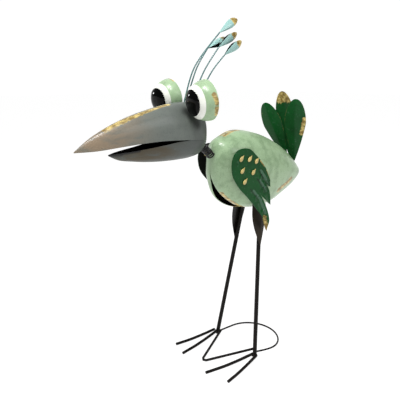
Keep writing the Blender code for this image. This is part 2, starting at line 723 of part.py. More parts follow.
def make_feet():
    """Add the toes of both feet, the rod bent to a V between them and the hoop behind."""
    leg = LEG_DIAMETER / 2 + FIT_GAP
    toe = TOE_DIAMETER / 2
    inner = INNER_TOE_DIAMETER / 2
    for name, side in (("left", 1), ("right", -1)):
        ankle = leg_line(side, FEET_GROUND + TOE_HEEL_RISE + toe)
        out, back = MIDDLE_TOE_TIPS[name]
        tip = Vector((side * out, back))
        heel = ankle.xy + (tip - ankle.xy).normalized() * (leg + LEG_LEAN_BACK * toe)
        rod(name + "_toe_middle", toe_path(heel, tip, toe), TOE_DIAMETER, ROD_BLACK)
        out, back = OUTER_TOE_TIPS[name]
        heel = (ankle.x + side * (leg + LEG_LEAN_IN * toe + toe), ankle.y - OUTER_TOE_HEEL_AHEAD)
        rod(name + "_toe_outer", toe_path(heel, (side * out, back), toe), TOE_DIAMETER, ROD_BLACK)
    ground = FEET_GROUND + inner * math.cos(math.pi / ROD_SIDES)
    points = [(0.0, -INNER_TOE_REACH, ground)]
    for name, side in (("left", 1), ("right", -1)):
        height = ground + INNER_TOE_RISE[name]
        ankle = leg_line(side, height)
        heel = (ankle.x - side * (leg + LEG_LEAN_IN * inner + inner), ankle.y + INNER_TOE_HEEL_BACK, height)
        bend = (side * INNER_TOE_BEND_RADIUS, -INNER_TOE_REACH + INNER_TOE_BEND_RADIUS * 0.7, ground)
        points = [heel, bend] + points[::-1]
    rod("inner_toes", points, INNER_TOE_DIAMETER, ROD_BLACK)
    hoop = HOOP_DIAMETER / 2
    ground = FEET_GROUND + hoop * math.cos(math.pi / ROD_SIDES)
    places = []
    for index in range(HOOP_STEPS + 1):
        angle = math.pi * index / HOOP_STEPS
        places.append((HOOP_RADIUS * math.cos(angle), HOOP_CENTRE_BACK + HOOP_RADIUS * math.sin(angle)))
    for name, side in (("left", 1), ("right", -1)):
        ankle = leg_line(side, ground + HOOP_HEEL_RISE[name])
        start = ankle.y + leg + LEG_LEAN_BACK * hoop + hoop
        arm = []
        for share in (0.7, 0.35, 0.0):
            out = ankle.x + (side * HOOP_RADIUS - ankle.x) * math.sin(math.pi / 2 * share)
            arm.append((out, start + (HOOP_CENTRE_BACK - start) * share))
        places = arm[::-1] + places if side > 0 else places + arm
    points = []
    for out, back in places:
        name = "left" if out > 0 else "right"
        down = min(1.0, max(0.0, (back - ANKLE_BACK - leg - HOOP_DIAMETER) / HOOP_HEEL_RUN[name]))
        points.append((out, back, ground + HOOP_HEEL_RISE[name] * (1 - down) ** 1.5))
    rod("foot_hoop", points, HOOP_DIAMETER, ROD_BLACK)


def stand_on_origin():
    """Carry every piece on one empty that puts the middle of the statue's underside at the origin."""
    vertices, _ = world_shape(statue.objects)
    carrier = bpy.data.objects.new(STATUE_NAME + "_stand", None)
    lows = [min(vertex[axis] for vertex in vertices) for axis in range(3)]
    highs = [max(vertex[axis] for vertex in vertices) for axis in range(3)]
    for piece in list(statue.objects) + list(cutters.objects):
        piece.parent = carrier
    statue.objects.link(carrier)
    carrier.location = (-(lows[0] + highs[0]) / 2, -(lows[1] + highs[1]) / 2, -lows[2])
    bpy.context.view_layer.update()


clear_scene()
statue = new_collection(STATUE_NAME)
cutters = new_collection(STATUE_NAME + "_cutters")
body_shells = make_body()
upper_beak, lower_beak = make_head()
make_eyes(upper_beak)
make_spring(lower_beak, body_shells)
make_crest(upper_beak)
make_wings(body_shells)
make_tail(body_shells)
make_legs(body_shells)
make_feet()
stand_on_origin()
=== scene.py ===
"""A painted metal garden toucan: pressed and cut sheet on welded rods, in a pale studio.

Sizes are in metres. The pieces are drawn from between the ankles, with the bird facing -Y and its
left side at +X. They are then carried into the row frame by the step that the frame's nodes give.
"""

import logging
import math
from collections.abc import Callable, Sequence
from dataclasses import dataclass, field
from enum import Enum

import bmesh
import bpy
from mathutils import Matrix, Vector


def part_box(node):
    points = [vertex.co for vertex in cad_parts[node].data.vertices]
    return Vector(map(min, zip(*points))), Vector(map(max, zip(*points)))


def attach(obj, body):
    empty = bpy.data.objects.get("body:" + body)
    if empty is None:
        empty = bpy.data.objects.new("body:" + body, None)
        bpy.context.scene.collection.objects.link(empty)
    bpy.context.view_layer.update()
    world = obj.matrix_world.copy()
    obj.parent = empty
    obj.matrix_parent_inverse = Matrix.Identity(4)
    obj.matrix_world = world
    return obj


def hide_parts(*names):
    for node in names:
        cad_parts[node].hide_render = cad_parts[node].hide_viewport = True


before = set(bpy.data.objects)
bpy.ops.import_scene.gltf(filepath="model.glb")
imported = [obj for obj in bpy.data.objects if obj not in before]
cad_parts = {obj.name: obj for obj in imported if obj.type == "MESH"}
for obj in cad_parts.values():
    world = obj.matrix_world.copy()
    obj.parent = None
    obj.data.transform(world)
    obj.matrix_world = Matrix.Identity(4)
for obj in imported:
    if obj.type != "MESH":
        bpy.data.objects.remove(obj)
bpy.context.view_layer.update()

log = logging.getLogger("toucan")

Point = tuple[float, float, float]
Place = tuple[float, float]
Colour = tuple[float, float, float, float]
Mesh = bpy.types.Mesh
Node = bpy.types.Node
Socket = bpy.types.NodeSocket

SHEET = 0.0010
FIT_GAP = 0.0003
CENTRE = (0.0, 0.0, 0.0)


class Side(Enum):
    """A side of the bird, with its sign along X."""

    LEFT = 1
    RIGHT = -1

    @property
    def word(self) -> str:
        """Return the side's name as the nodes spell it."""
        return self.name.lower()


def by_side(left: object, right: object) -> object:
    """Return a dataclass field that holds a value for each side."""
    return field(default_factory=lambda: {Side.LEFT: left, Side.RIGHT: right})


# Colours, in linear values
WHITE = (1.0, 1.0, 1.0, 1.0)
MINT = (0.330, 0.465, 0.280, 1.0)
MINT_SHADE = (0.150, 0.235, 0.125, 1.0)
MINT_LIGHT = (0.420, 0.560, 0.370, 1.0)
GOLD = (0.210, 0.140, 0.035, 1.0)
GOLD_LIGHT = (0.600, 0.470, 0.170, 1.0)
GREEN = (0.003, 0.068, 0.012, 1.0)
GREEN_SHADE = (0.002, 0.024, 0.005, 1.0)
GREEN_GREY = (0.055, 0.125, 0.075, 1.0)
BEAK_GREY = (0.128, 0.145, 0.130, 1.0)
BEAK_SHADE = (0.072, 0.082, 0.075, 1.0)
BEAK_TAN = (0.270, 0.195, 0.125, 1.0)
BEAK_TAN_BELOW = (0.062, 0.045, 0.020, 1.0)
AQUA = (0.300, 0.500, 0.470, 1.0)
AQUA_WIRE = (0.075, 0.165, 0.160, 1.0)
AQUA_PALE = (0.560, 0.720, 0.680, 1.0)
EYE_CREAM = (0.820, 0.830, 0.760, 1.0)
BLACK = (0.005, 0.005, 0.005, 1.0)
JET = (0.0015, 0.0015, 0.0015, 1.0)
BROWN_BLACK = (0.009, 0.007, 0.006, 1.0)
PALE = (0.280, 0.280, 0.280, 1.0)
BROWN = (0.026, 0.019, 0.010, 1.0)

# Width of one patch in metres, then how many finer layers it has. The gold's patches are bristle
# marks, and painted sheen of the metallic gold
BRISTLE_AND_SHEEN_NOISE = (0.0060, 3.0)
BRISTLE_AND_SHEEN_RANGE = (0.38, 0.66)
RAGGED_NOISE = (0.0035, 3.0)
RAGGED_SHARE = 0.9
RAGGED_EDGE = (1.45, 1.05)
SOFT_EDGE = (2.2, 0.2)
DENT_SIZE = 0.0040
DENT_STRENGTH = 0.6
COAT_ROUGHNESS = 0.12


def add_node(tree: bpy.types.NodeTree, kind: str, inputs: dict, **options: object) -> Node:
    """Add a node to a tree.

    Args:
        tree: The tree.
        kind: The node's type.
        inputs: Its inputs by name or number, as values or as output sockets to link.
        options: Its own settings by name.

    Returns:
        The node.
    """
    node = tree.nodes.new(kind)
    for name, option in options.items():
        setattr(node, name, option)
    for key, value in inputs.items():
        if isinstance(value, Socket):
            tree.links.new(value, node.inputs[key])
        else:
            node.inputs[key].default_value = value
    return node


@dataclass(frozen=True)
class Stroke:
    """A ragged brush stroke between two places of the row frame."""

    start: Point
    end: Point
    width: float


class Mixer:
    """The nodes of one material, joined as they are added."""

    def __init__(self, name: str) -> None:
        """Start a material with a plain Principled shader.

        Args:
            name: The material's name.
        """
        self.material = bpy.data.materials.new(name)
        self.material.use_nodes = True
        self.tree = self.material.node_tree
        self.shader = self.tree.nodes["Principled BSDF"]
        self.place: Socket = self.add("ShaderNodeTexCoord", {}).outputs["Object"]

    def add(self, kind: str, inputs: dict, **options: object) -> Node:
        """Return a new shader node."""
        return add_node(self.tree, kind, inputs, **options)

    def calc(self, operation: str, first: object, second: object = 0.0) -> Socket:
        """Return the result of a math node on one or two values."""
        return self.add("ShaderNodeMath", {0: first, 1: second}, operation=operation).outputs[0]

    def vector(self, operation: str, first: object, second: object = (0.0, 0.0, 0.0)) -> Node:
        """Return a vector math node on one or two vectors."""
        return self.add("ShaderNodeVectorMath", {0: first, 1: second}, operation=operation)

    def ramp(self, value: object, low: float, high: float) -> Socket:
        """Return 0 to 1 as a value goes from low to high, smoothly.

        Args:
            value: The value.
            low: Where the result is 0.
            high: Where it is 1.

        Returns:
            The result's output socket.
        """
        inputs = {"Value": value, "From Min": low, "From Max": high}
        node = self.add("ShaderNodeMapRange", inputs, interpolation_type="SMOOTHSTEP")
        return node.outputs["Result"]

    def noise(self, size: float, detail: float = 2.0, stretch: Point = (1.0, 1.0, 1.0)) -> Socket:
        """Return a noise from 0 to 1.

        Args:
            size: Width of one patch in metres.
            detail: How many finer layers it has.
            stretch: Shares of the place along X, Y and Z, below 1 where the pattern is drawn out.

        Returns:
            The noise's output socket.
        """
        drawn = self.vector("MULTIPLY", self.place, stretch).outputs[0]
        inputs = {"Vector": drawn, "Scale": 1.0 / size, "Detail": detail}
        return self.add("ShaderNodeTexNoise", inputs).outputs["Fac"]

    def axis(self, name: str, place: Socket | None = None) -> Socket:
        """Return X, Y or Z of the place, or of another vector."""
        vector = self.place if place is None else place
        return self.add("ShaderNodeSeparateXYZ", {0: vector}).outputs[name]

    def layout(self, name: str) -> Socket:
        """Return a value of the piece's own layout: X from its first row on, Y across it."""
        return self.axis(name, self.add("ShaderNodeUVMap", {}, uv_map="Layout").outputs[0])

    def mirror(self, middle: float) -> None:
        """Fold the place over the middle plane, so that both sides are painted alike.

        Args:
            middle: Where the middle plane crosses the row frame's X axis.
        """
        out = self.calc("ABSOLUTE", self.calc("SUBTRACT", self.axis("X"), middle))
        inputs = {0: out, 1: self.axis("Y"), 2: self.axis("Z")}
        self.place = self.add("ShaderNodeCombineXYZ", inputs).outputs[0]

    def blend(self, below: object, above: object, share: object) -> Socket:
        """Return one colour painted over another.

        Args:
            below: The colour below.
            above: The colour on top.
            share: How far the upper one covers, from 0 to 1.

        Returns:
            The mixed colour's output socket.
        """
        inputs = {0: share, 6: below, 7: above}
        return self.add("ShaderNodeMix", inputs, data_type="RGBA").outputs[2]

    def gilt(self) -> Socket:
        """Return the gold paint's colour, from dark brown to bright in patches: bristle marks, and
        painted sheen of the metallic gold.
        """
        bristle_and_sheen = self.ramp(self.noise(*BRISTLE_AND_SHEEN_NOISE, (1.0, 0.5, 1.0)), *BRISTLE_AND_SHEEN_RANGE)
        return self.blend(GOLD, GOLD_LIGHT, bristle_and_sheen)

    def dent(self, depth: float) -> None:
        """Give the paint a fine hammered skin of this depth.

        Args:
            depth: How deep the skin's dents are.
        """
        inputs = {"Strength": DENT_STRENGTH, "Distance": depth, "Height": self.noise(DENT_SIZE)}
        bump = self.add("ShaderNodeBump", inputs)
        self.tree.links.new(bump.outputs["Normal"], self.shader.inputs["Normal"])

    def cover(self, stroke: Stroke, soft: bool = False) -> Socket:
        """Return how far a brush stroke covers each place.

        Args:
            stroke: The stroke.
            soft: Whether it fades out instead of ending in a ragged edge.

        Returns:
            The cover's output socket, from 0 to 1.
        """
        run = Vector(stroke.end) - Vector(stroke.start)
        away = self.vector("SUBTRACT", self.place, stroke.start).outputs[0]
        along = self.vector("DOT_PRODUCT", away, tuple(run / run.length_squared))
        share = self.calc("MINIMUM", self.calc("MAXIMUM", along.outputs["Value"], 0.0), 1.0)
        inputs = {0: tuple(run), "Scale": share}
        nearest = self.add("ShaderNodeVectorMath", inputs, operation="SCALE")
        gap = self.vector("SUBTRACT", away, nearest.outputs[0])
        far = self.vector("LENGTH", gap.outputs[0]).outputs["Value"]
        reach = self.calc("DIVIDE", far, stroke.width)
        if soft:
            return self.ramp(reach, *SOFT_EDGE)
        ragged = self.calc("MULTIPLY", self.noise(*RAGGED_NOISE), RAGGED_SHARE)
        return self.ramp(self.calc("ADD", reach, ragged), *RAGGED_EDGE)


@dataclass(frozen=True)
class Finish:
    """A coat of paint with specks, gold brush strokes, painted highlights, painted shade and dark
    rims, and a gloss.
    """

    name: str
    colour: Colour
    shade: Colour
    light: Colour
    roughness: float = 0.38
    coat: float = 0.12
    specular: float = 0.35
    speck: float = 0.0014
    speck_share: float = 0.5
    hammer: float = 0.0
    strokes: tuple[Stroke, ...] = ()
    # Soft strokes towards black: painted shade, and dark rims
    soot: tuple[Stroke, ...] = ()
    soot_share: float = 0.8
    # Strokes in the lighter colour: painted highlights
    painted_highlights: tuple[Stroke, ...] = ()
    mirrored: bool = False

    def tint(self, mixer: Mixer) -> Socket:
        """Return the paint's colour before its strokes: patches of shade and fine pale specks.

        Args:
            mixer: The material's nodes.

        Returns:
            The colour's output socket.
        """
        # Patch size in specks, finer layers, range of the noise, colour, share of the speck's share
        layers = ((12, 3.0, (0.40, 0.75), self.shade, 1.0), (1, 2.0, (0.56, 0.70), self.shade, 1.0),
                  (1.7, 2.0, (0.60, 0.74), self.light, 0.8))
        base: Colour | Socket = self.colour
        for size, detail, span, colour, strength in layers:
            patch = mixer.ramp(mixer.noise(self.speck * size, detail), *span)
            share = mixer.calc("MULTIPLY", patch, self.speck_share * strength)
            base = mixer.blend(base, colour, share)
        return base

    def material(self) -> bpy.types.Material:
        """Return the finish's material, made at its first use.

        Returns:
            The material.
        """
        known = bpy.data.materials.get(self.name)
        if known:
            return known
        mixer = Mixer(self.name)
        if self.mirrored:
            mixer.mirror(MIDDLE)
        colour = self.tint(mixer)
        # Painted highlights in the lighter colour
        for stroke in self.painted_highlights:
            colour = mixer.blend(colour, self.light, mixer.cover(stroke))
        # Soft strokes towards black: painted shade, and dark rims
        for stroke in self.soot:
            share = mixer.calc("MULTIPLY", mixer.cover(stroke, True), self.soot_share)
            colour = mixer.blend(colour, BLACK, share)
        for stroke in self.strokes:
            colour = mixer.blend(colour, mixer.gilt(), mixer.cover(stroke))
        mixer.tree.links.new(colour, mixer.shader.inputs["Base Color"])
        if self.hammer:
            mixer.dent(self.hammer)
        gloss = {"Roughness": self.roughness, "Specular IOR Level": self.specular,
                 "Coat Weight": self.coat, "Coat Roughness": COAT_ROUGHNESS}
        for name, value in gloss.items():
            mixer.shader.inputs[name].default_value = value
        return mixer.material


@dataclass(frozen=True)
class BeakFinish(Finish):
    """Grey paint with painted shade towards the back of the head, and tan towards the tip of the
    beak.
    """

    tan: Colour = BEAK_TAN
    tan_span: Place = (-0.105, -0.225)
    tan_share: float = 0.85
    shade_span: Place = (-0.090, -0.010)
    shade_share: float = 0.9
    streak: float = 0.010

    def tint(self, mixer: Mixer) -> Socket:
        """Return grey that fades to tan along the beak, drawn out lengthwise as by a brush, with
        painted shade darkening it towards the head.

        Args:
            mixer: The material's nodes.

        Returns:
            The colour's output socket.
        """
        base = super().tint(mixer)
        streak = mixer.ramp(mixer.noise(self.streak, 3.0, (1.0, 0.25, 1.0)), 0.25, 0.60)
        amount = mixer.calc("MULTIPLY", mixer.ramp(mixer.axis("Y"), *self.tan_span), streak)
        # Painted shade: darker towards the back of the head
        painted_shade = mixer.ramp(mixer.axis("Y"), *self.shade_span)
        base = mixer.blend(base, BEAK_SHADE, mixer.calc("MULTIPLY", painted_shade, self.shade_share))
        return mixer.blend(base, self.tan, mixer.calc("MULTIPLY", amount, self.tan_share))


@dataclass(frozen=True)
class FeatherFinish(Finish):
    """Paint with a worn gold line along the edges of a leaf and a gold tip."""

    edge: float = 0.80
    edge_share: float = 0.6
    tip: float = 2.0
    tip_fade: float = 0.05
    tip_ragged: float = 0.16

    def tint(self, mixer: Mixer) -> Socket:
        """Return the paint with its edges gilded here and there.

        Args:
            mixer: The material's nodes.

        Returns:
            The colour's output socket.
        """
        base = super().tint(mixer)
        across = mixer.calc("SUBTRACT", mixer.calc("MULTIPLY", mixer.layout("Y"), 2.0), 1.0)
        rim = mixer.ramp(mixer.calc("ABSOLUTE", across), self.edge, 1.0)
        worn = mixer.ramp(mixer.noise(0.008, 3.0), 0.42, 0.62)
        cover = mixer.calc("MULTIPLY", mixer.calc("MULTIPLY", rim, worn), self.edge_share)
        ragged = mixer.calc("MULTIPLY", mixer.noise(0.0040), self.tip_ragged)
        along = mixer.calc("ADD", mixer.layout("X"), ragged)
        end = mixer.ramp(along, self.tip, self.tip + self.tip_fade)
        return mixer.blend(base, mixer.gilt(), mixer.calc("MAXIMUM", cover, end))


def smooth_rows(table: Sequence[Sequence[float]], count: int,
                closed: bool = False) -> list[tuple[float, ...]]:
    """Return evenly spaced rows on a Catmull-Rom curve through a table of rows.

    Args:
        table: The rows that the curve passes through.
        count: How many rows to return.
        closed: Whether the curve comes back to its first row.

    Returns:
        The rows on the curve.
    """
    size = len(table)
    spans = size if closed else size - 1
    rows = []
    for index in range(count):
        place = spans * index / (count if closed else count - 1)
        first = min(int(place), spans - 1)
        share = place - first
        picks = []
        for pick in range(first - 1, first + 3):
            picks.append(table[pick % size] if closed else table[max(0, min(size - 1, pick))])
        row = []
        for a, b, c, d in zip(*picks):
            bend = 2 * a - 5 * b + 4 * c - d
            twist = 3 * b - a - 3 * c + d
            row.append(b + 0.5 * share * (c - a + share * (bend + share * twist)))
        rows.append(tuple(row))
    return rows


def linked(name: str, data: bpy.types.ID) -> bpy.types.Object:
    """Return a new object in the scene that holds a mesh, lamp or camera.

    Args:
        name: The object's name.
        data: What it holds.

    Returns:
        The object.
    """
    made = bpy.data.objects.new(name, data)
    bpy.context.scene.collection.objects.link(made)
    return made


def mesh_from(made: bmesh.types.BMesh, name: str) -> Mesh:
    """Return a bmesh as a named mesh, and free it.

    Args:
        made: The bmesh.
        name: The mesh's name.

    Returns:
        The mesh.
    """
    mesh = bpy.data.meshes.new(name)
    made.to_mesh(mesh)
    made.free()
    return mesh


def surface(name: str, rows: Sequence[Sequence[Point]], inside: Point,
            closed: bool = False) -> Mesh:
    """Return an open mesh through rows of points, its faces turned away from a point inside.

    Args:
        name: The mesh's name.
        rows: Rows of points, each of the same length.
        inside: A point on the inner side.
        closed: Whether each row comes back to its first point.

    Returns:
        The mesh, with a UV map named Layout: X from the first row on, Y across.
    """
    made = bmesh.new()
    layout = made.loops.layers.uv.new("Layout")
    grid = [[made.verts.new(point) for point in row] for row in rows]
    last = len(rows) - 1
    for number, (lower, upper) in enumerate(zip(grid, grid[1:])):
        width = len(lower)
        spans = width if closed else width - 1
        for index in range(spans):
            after = (index + 1) % width
            face = made.faces.new((lower[index], lower[after], upper[after], upper[index]))
            left, right = index / spans, (index + 1) / spans
            low, high = number / last, (number + 1) / last
            corners = ((low, left), (low, right), (high, right), (high, left))
            for loop, corner in zip(face.loops, corners):
                loop[layout].uv = corner
    bmesh.ops.remove_doubles(made, verts=made.verts, dist=0.00001)
    bmesh.ops.recalc_face_normals(made, faces=made.faces)
    middle = Vector(inside)
    if sum((face.calc_center_median() - middle).dot(face.normal) for face in made.faces) < 0:
        bmesh.ops.reverse_faces(made, faces=made.faces)
    return mesh_from(made, name)


def baked(blank: bpy.types.Object) -> Mesh:
    """Return an object's mesh with its modifiers applied, and remove the object.

    Args:
        blank: The object.

    Returns:
        The plain mesh.
    """
    bpy.context.view_layer.update()
    graph = bpy.context.evaluated_depsgraph_get()
    mesh = bpy.data.meshes.new_from_object(blank.evaluated_get(graph))
    bpy.data.objects.remove(blank, do_unlink=True)
    return mesh


def walled(mesh: Mesh, outer: Finish, inner: Finish, wall: float = SHEET,
           side: float = -1.0) -> Mesh:
    """Return a surface with a wall.

    Args:
        mesh: The open surface.
        outer: Finish of its outer face and its edge.
        inner: Finish of its inner face.
        wall: Thickness of the wall.
        side: -1 for a wall behind the surface, 1 for one in front of it.

    Returns:
        The closed mesh with both finishes.
    """
    mesh.materials.append(outer.material())
    mesh.materials.append(inner.material())
    blank = linked("blank", mesh)
    solid = blank.modifiers.new("wall", "SOLIDIFY")
    solid.thickness = wall
    solid.offset = side
    solid.thickness_clamp = 0.9
    solid.use_even_offset = False
    solid.material_offset = 1
    made = baked(blank)
    if side > 0:
        for face in made.polygons:
            face.material_index = 0
    return made


def carried(mesh: Mesh, step: Vector) -> Mesh:
    """Return a mesh moved by a step."""
    mesh.transform(Matrix.Translation(step))
    return mesh


def settled(mesh: Mesh, node: str, axes: Point = (1, 1, 1)) -> Vector:
    """Return the step that brings a mesh's middle to its node's middle, along chosen axes.

    Args:
        mesh: The mesh.
        node: The CAD node.
        axes: 1 for each axis to move along, else 0.

    Returns:
        The step.
    """
    lows = [min(vertex.co[axis] for vertex in mesh.vertices) for axis in range(3)]
    highs = [max(vertex.co[axis] for vertex in mesh.vertices) for axis in range(3)]
    low, high = node_box(node)
    step = (low + high) / 2 - (Vector(lows) + Vector(highs)) / 2
    return step * Vector(axes)


def node_box(node: str) -> tuple[Vector, Vector]:
    """Return a CAD node's lowest and highest corners."""
    low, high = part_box(node)
    return Vector(low), Vector(high)


def publish(name: str, mesh: Mesh, nodes: Sequence[str], crease: float = 40.0) -> None:
    """Add a finished mesh to the scene and hand it to the frame.

    Args:
        name: The piece's name.
        mesh: Its mesh, in the row frame.
        nodes: The CAD nodes that it stands for.
        crease: Angle in degrees above which an edge stays sharp.
    """
    mesh.name = name
    mesh.shade_smooth()
    mesh.set_sharp_from_angle(angle=math.radians(crease))
    piece = linked(name, mesh)
    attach(piece, "root")
    if nodes:
        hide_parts(*nodes)
    log.info("%s: %d faces", name, len(mesh.polygons))


@dataclass
class NodeRecipe:
    """A Geometry Nodes tree with named inputs, which ends in Realize Instances and Set Material."""

    name: str
    sizes: dict[str, str]
    tree: bpy.types.NodeTree = field(init=False)
    start: Node = field(init=False)
    keys: dict[str, str] = field(init=False, default_factory=dict)

    def __post_init__(self) -> None:
        """Make the empty tree with its inputs: a mesh, the sizes by name and kind, a material."""
        self.tree = bpy.data.node_groups.new(self.name, "GeometryNodeTree")
        for name, kind in {"Geometry": "Geometry", **self.sizes, "Material": "Material"}.items():
            socket = self.tree.interface.new_socket(
                name=name, in_out="INPUT", socket_type="NodeSocket" + kind)
            self.keys[name] = socket.identifier
        self.start = self.tree.nodes.new("NodeGroupInput")

    def add(self, kind: str, **inputs: object) -> Node:
        """Return a new node with inputs by name, their spaces written as underscores."""
        named = {name.replace("_", " "): value for name, value in inputs.items()}
        return add_node(self.tree, kind, named)

    def tube(self, line: Node, sides: object, radius: Socket) -> Socket:
        """Return a round tube with capped ends along a node's curve.

        Args:
            line: The curve's node.
            sides: How many sides the tube has.
            radius: Its radius.

        Returns:
            The tube's output socket.
        """
        ring = self.add("GeometryNodeCurvePrimitiveCircle", Resolution=sides, Radius=radius)
        tube = self.add("GeometryNodeCurveToMesh", Curve=line.outputs[0],
                        Profile_Curve=ring.outputs[0], Fill_Caps=True)
        return tube.outputs[0]

    def close(self, geometry: Socket) -> None:
        """Finish the tree behind a geometry.

        Args:
            geometry: The geometry that the tree gives.
        """
        self.tree.interface.new_socket(
            name="Geometry", in_out="OUTPUT", socket_type="NodeSocketGeometry")
        real = self.add("GeometryNodeRealizeInstances", Geometry=geometry)
        painted = self.add("GeometryNodeSetMaterial", Geometry=real.outputs[0],
                           Material=self.start.outputs["Material"])
        end = self.tree.nodes.new("NodeGroupOutput")
        self.tree.links.new(painted.outputs[0], end.inputs[0])

    def run(self, base: Mesh, values: dict[str, object]) -> Mesh:
        """Return the plain mesh that the tree makes.

        Args:
            base: The mesh that the tree starts from.
            values: The tree's inputs by name.

        Returns:
            The resulting mesh.
        """
        blank = linked("blank", base)
        modifier = blank.modifiers.new("recipe", "NODES")
        modifier.node_group = self.tree
        for name, value in values.items():
            modifier[self.keys[name]] = value
        mesh = baked(blank)
        mesh.validate()
        return mesh


def rod_recipe() -> NodeRecipe:
    """Return the tree that runs a round rod with flat ends along a line of edges.

    Returns:
        The tree.
    """
    recipe = NodeRecipe("round_rod", {"Radius": "Float", "Sides": "Int"})
    source = recipe.start.outputs
    line = recipe.add("GeometryNodeMeshToCurve", Mesh=source["Geometry"])
    recipe.close(recipe.tube(line, source["Sides"], source["Radius"]))
    return recipe


def coil_recipe() -> NodeRecipe:
    """Return the tree that winds a close coil upwards from the origin.

    Returns:
        The tree.
    """
    sizes = dict.fromkeys(("Turns", "Radius", "Wire", "Length"), "Float")
    recipe = NodeRecipe("close_coil", sizes)
    source = recipe.start.outputs
    line = recipe.add("GeometryNodeCurveSpiral", Resolution=40, Rotations=source["Turns"],
                      Start_Radius=source["Radius"], End_Radius=source["Radius"],
                      Height=source["Length"])
    recipe.close(recipe.tube(line, 14, source["Wire"]))
    return recipe


def louvre_recipe() -> NodeRecipe:
    """Return the tree that sets a drop-shaped hood on every point of a mesh.

    Returns:
        The tree.
    """
    sizes = dict.fromkeys(("Length", "Width", "Height", "Turn"), "Float")
    recipe = NodeRecipe("louvre_hoods", sizes)
    source = recipe.start.outputs
    drop = recipe.add("GeometryNodeMeshCone", Vertices=24, Side_Segments=10, Fill_Segments=3,
                      Radius_Top=0.08, Radius_Bottom=1.0, Depth=1.5)
    ball = recipe.add("GeometryNodeMeshUVSphere", Segments=24, Rings=14, Radius=1.0)
    lifted = recipe.add("GeometryNodeTransform", Geometry=drop.outputs["Mesh"],
                        Translation=(0.0, 0.0, 0.12))
    both = add_node(recipe.tree, "GeometryNodeMeshBoolean", {}, operation="UNION")
    for solid in (lifted, ball):
        recipe.tree.links.new(solid.outputs[0], both.inputs[1])
    scale = {number: source[name] for number, name in enumerate(("Height", "Width", "Length"))}
    scale_node = add_node(recipe.tree, "ShaderNodeCombineXYZ", scale)
    shaped = recipe.add("GeometryNodeTransform", Geometry=both.outputs[0],
                        Scale=scale_node.outputs[0])
    turn = add_node(recipe.tree, "ShaderNodeCombineXYZ", {0: source["Turn"]})
    points = recipe.add("GeometryNodeMeshToPoints", Mesh=source["Geometry"])
    spread = recipe.add("GeometryNodeInstanceOnPoints", Points=points.outputs[0],
                        Instance=shaped.outputs[0], Rotation=turn.outputs[0])
    recipe.close(spread.outputs[0])
    return recipe


def line_mesh(points: Sequence[Sequence[float]]) -> Mesh:
    """Return a mesh of points joined by edges.

    Args:
        points: The points in order.

    Returns:
        The mesh.
    """
    mesh = bpy.data.meshes.new("line")
    edges = [(index, index + 1) for index in range(len(points) - 1)]
    mesh.from_pydata([tuple(point) for point in points], edges, [])
    return mesh


def drawing_step() -> Vector:
    """Return the step from the drawing's frame to the row frame, read from the frame's nodes.

    Returns:
        The step.
    """
    body = node_box("left_body_shell")[1]
    hoop = node_box("foot_hoop")[1]
    feet = Feet()
    back = hoop.y - feet.hoop_back - feet.hoop_radius - feet.hoop / 2
    return Vector((body.x - Body().half_width, back, -feet.ground))


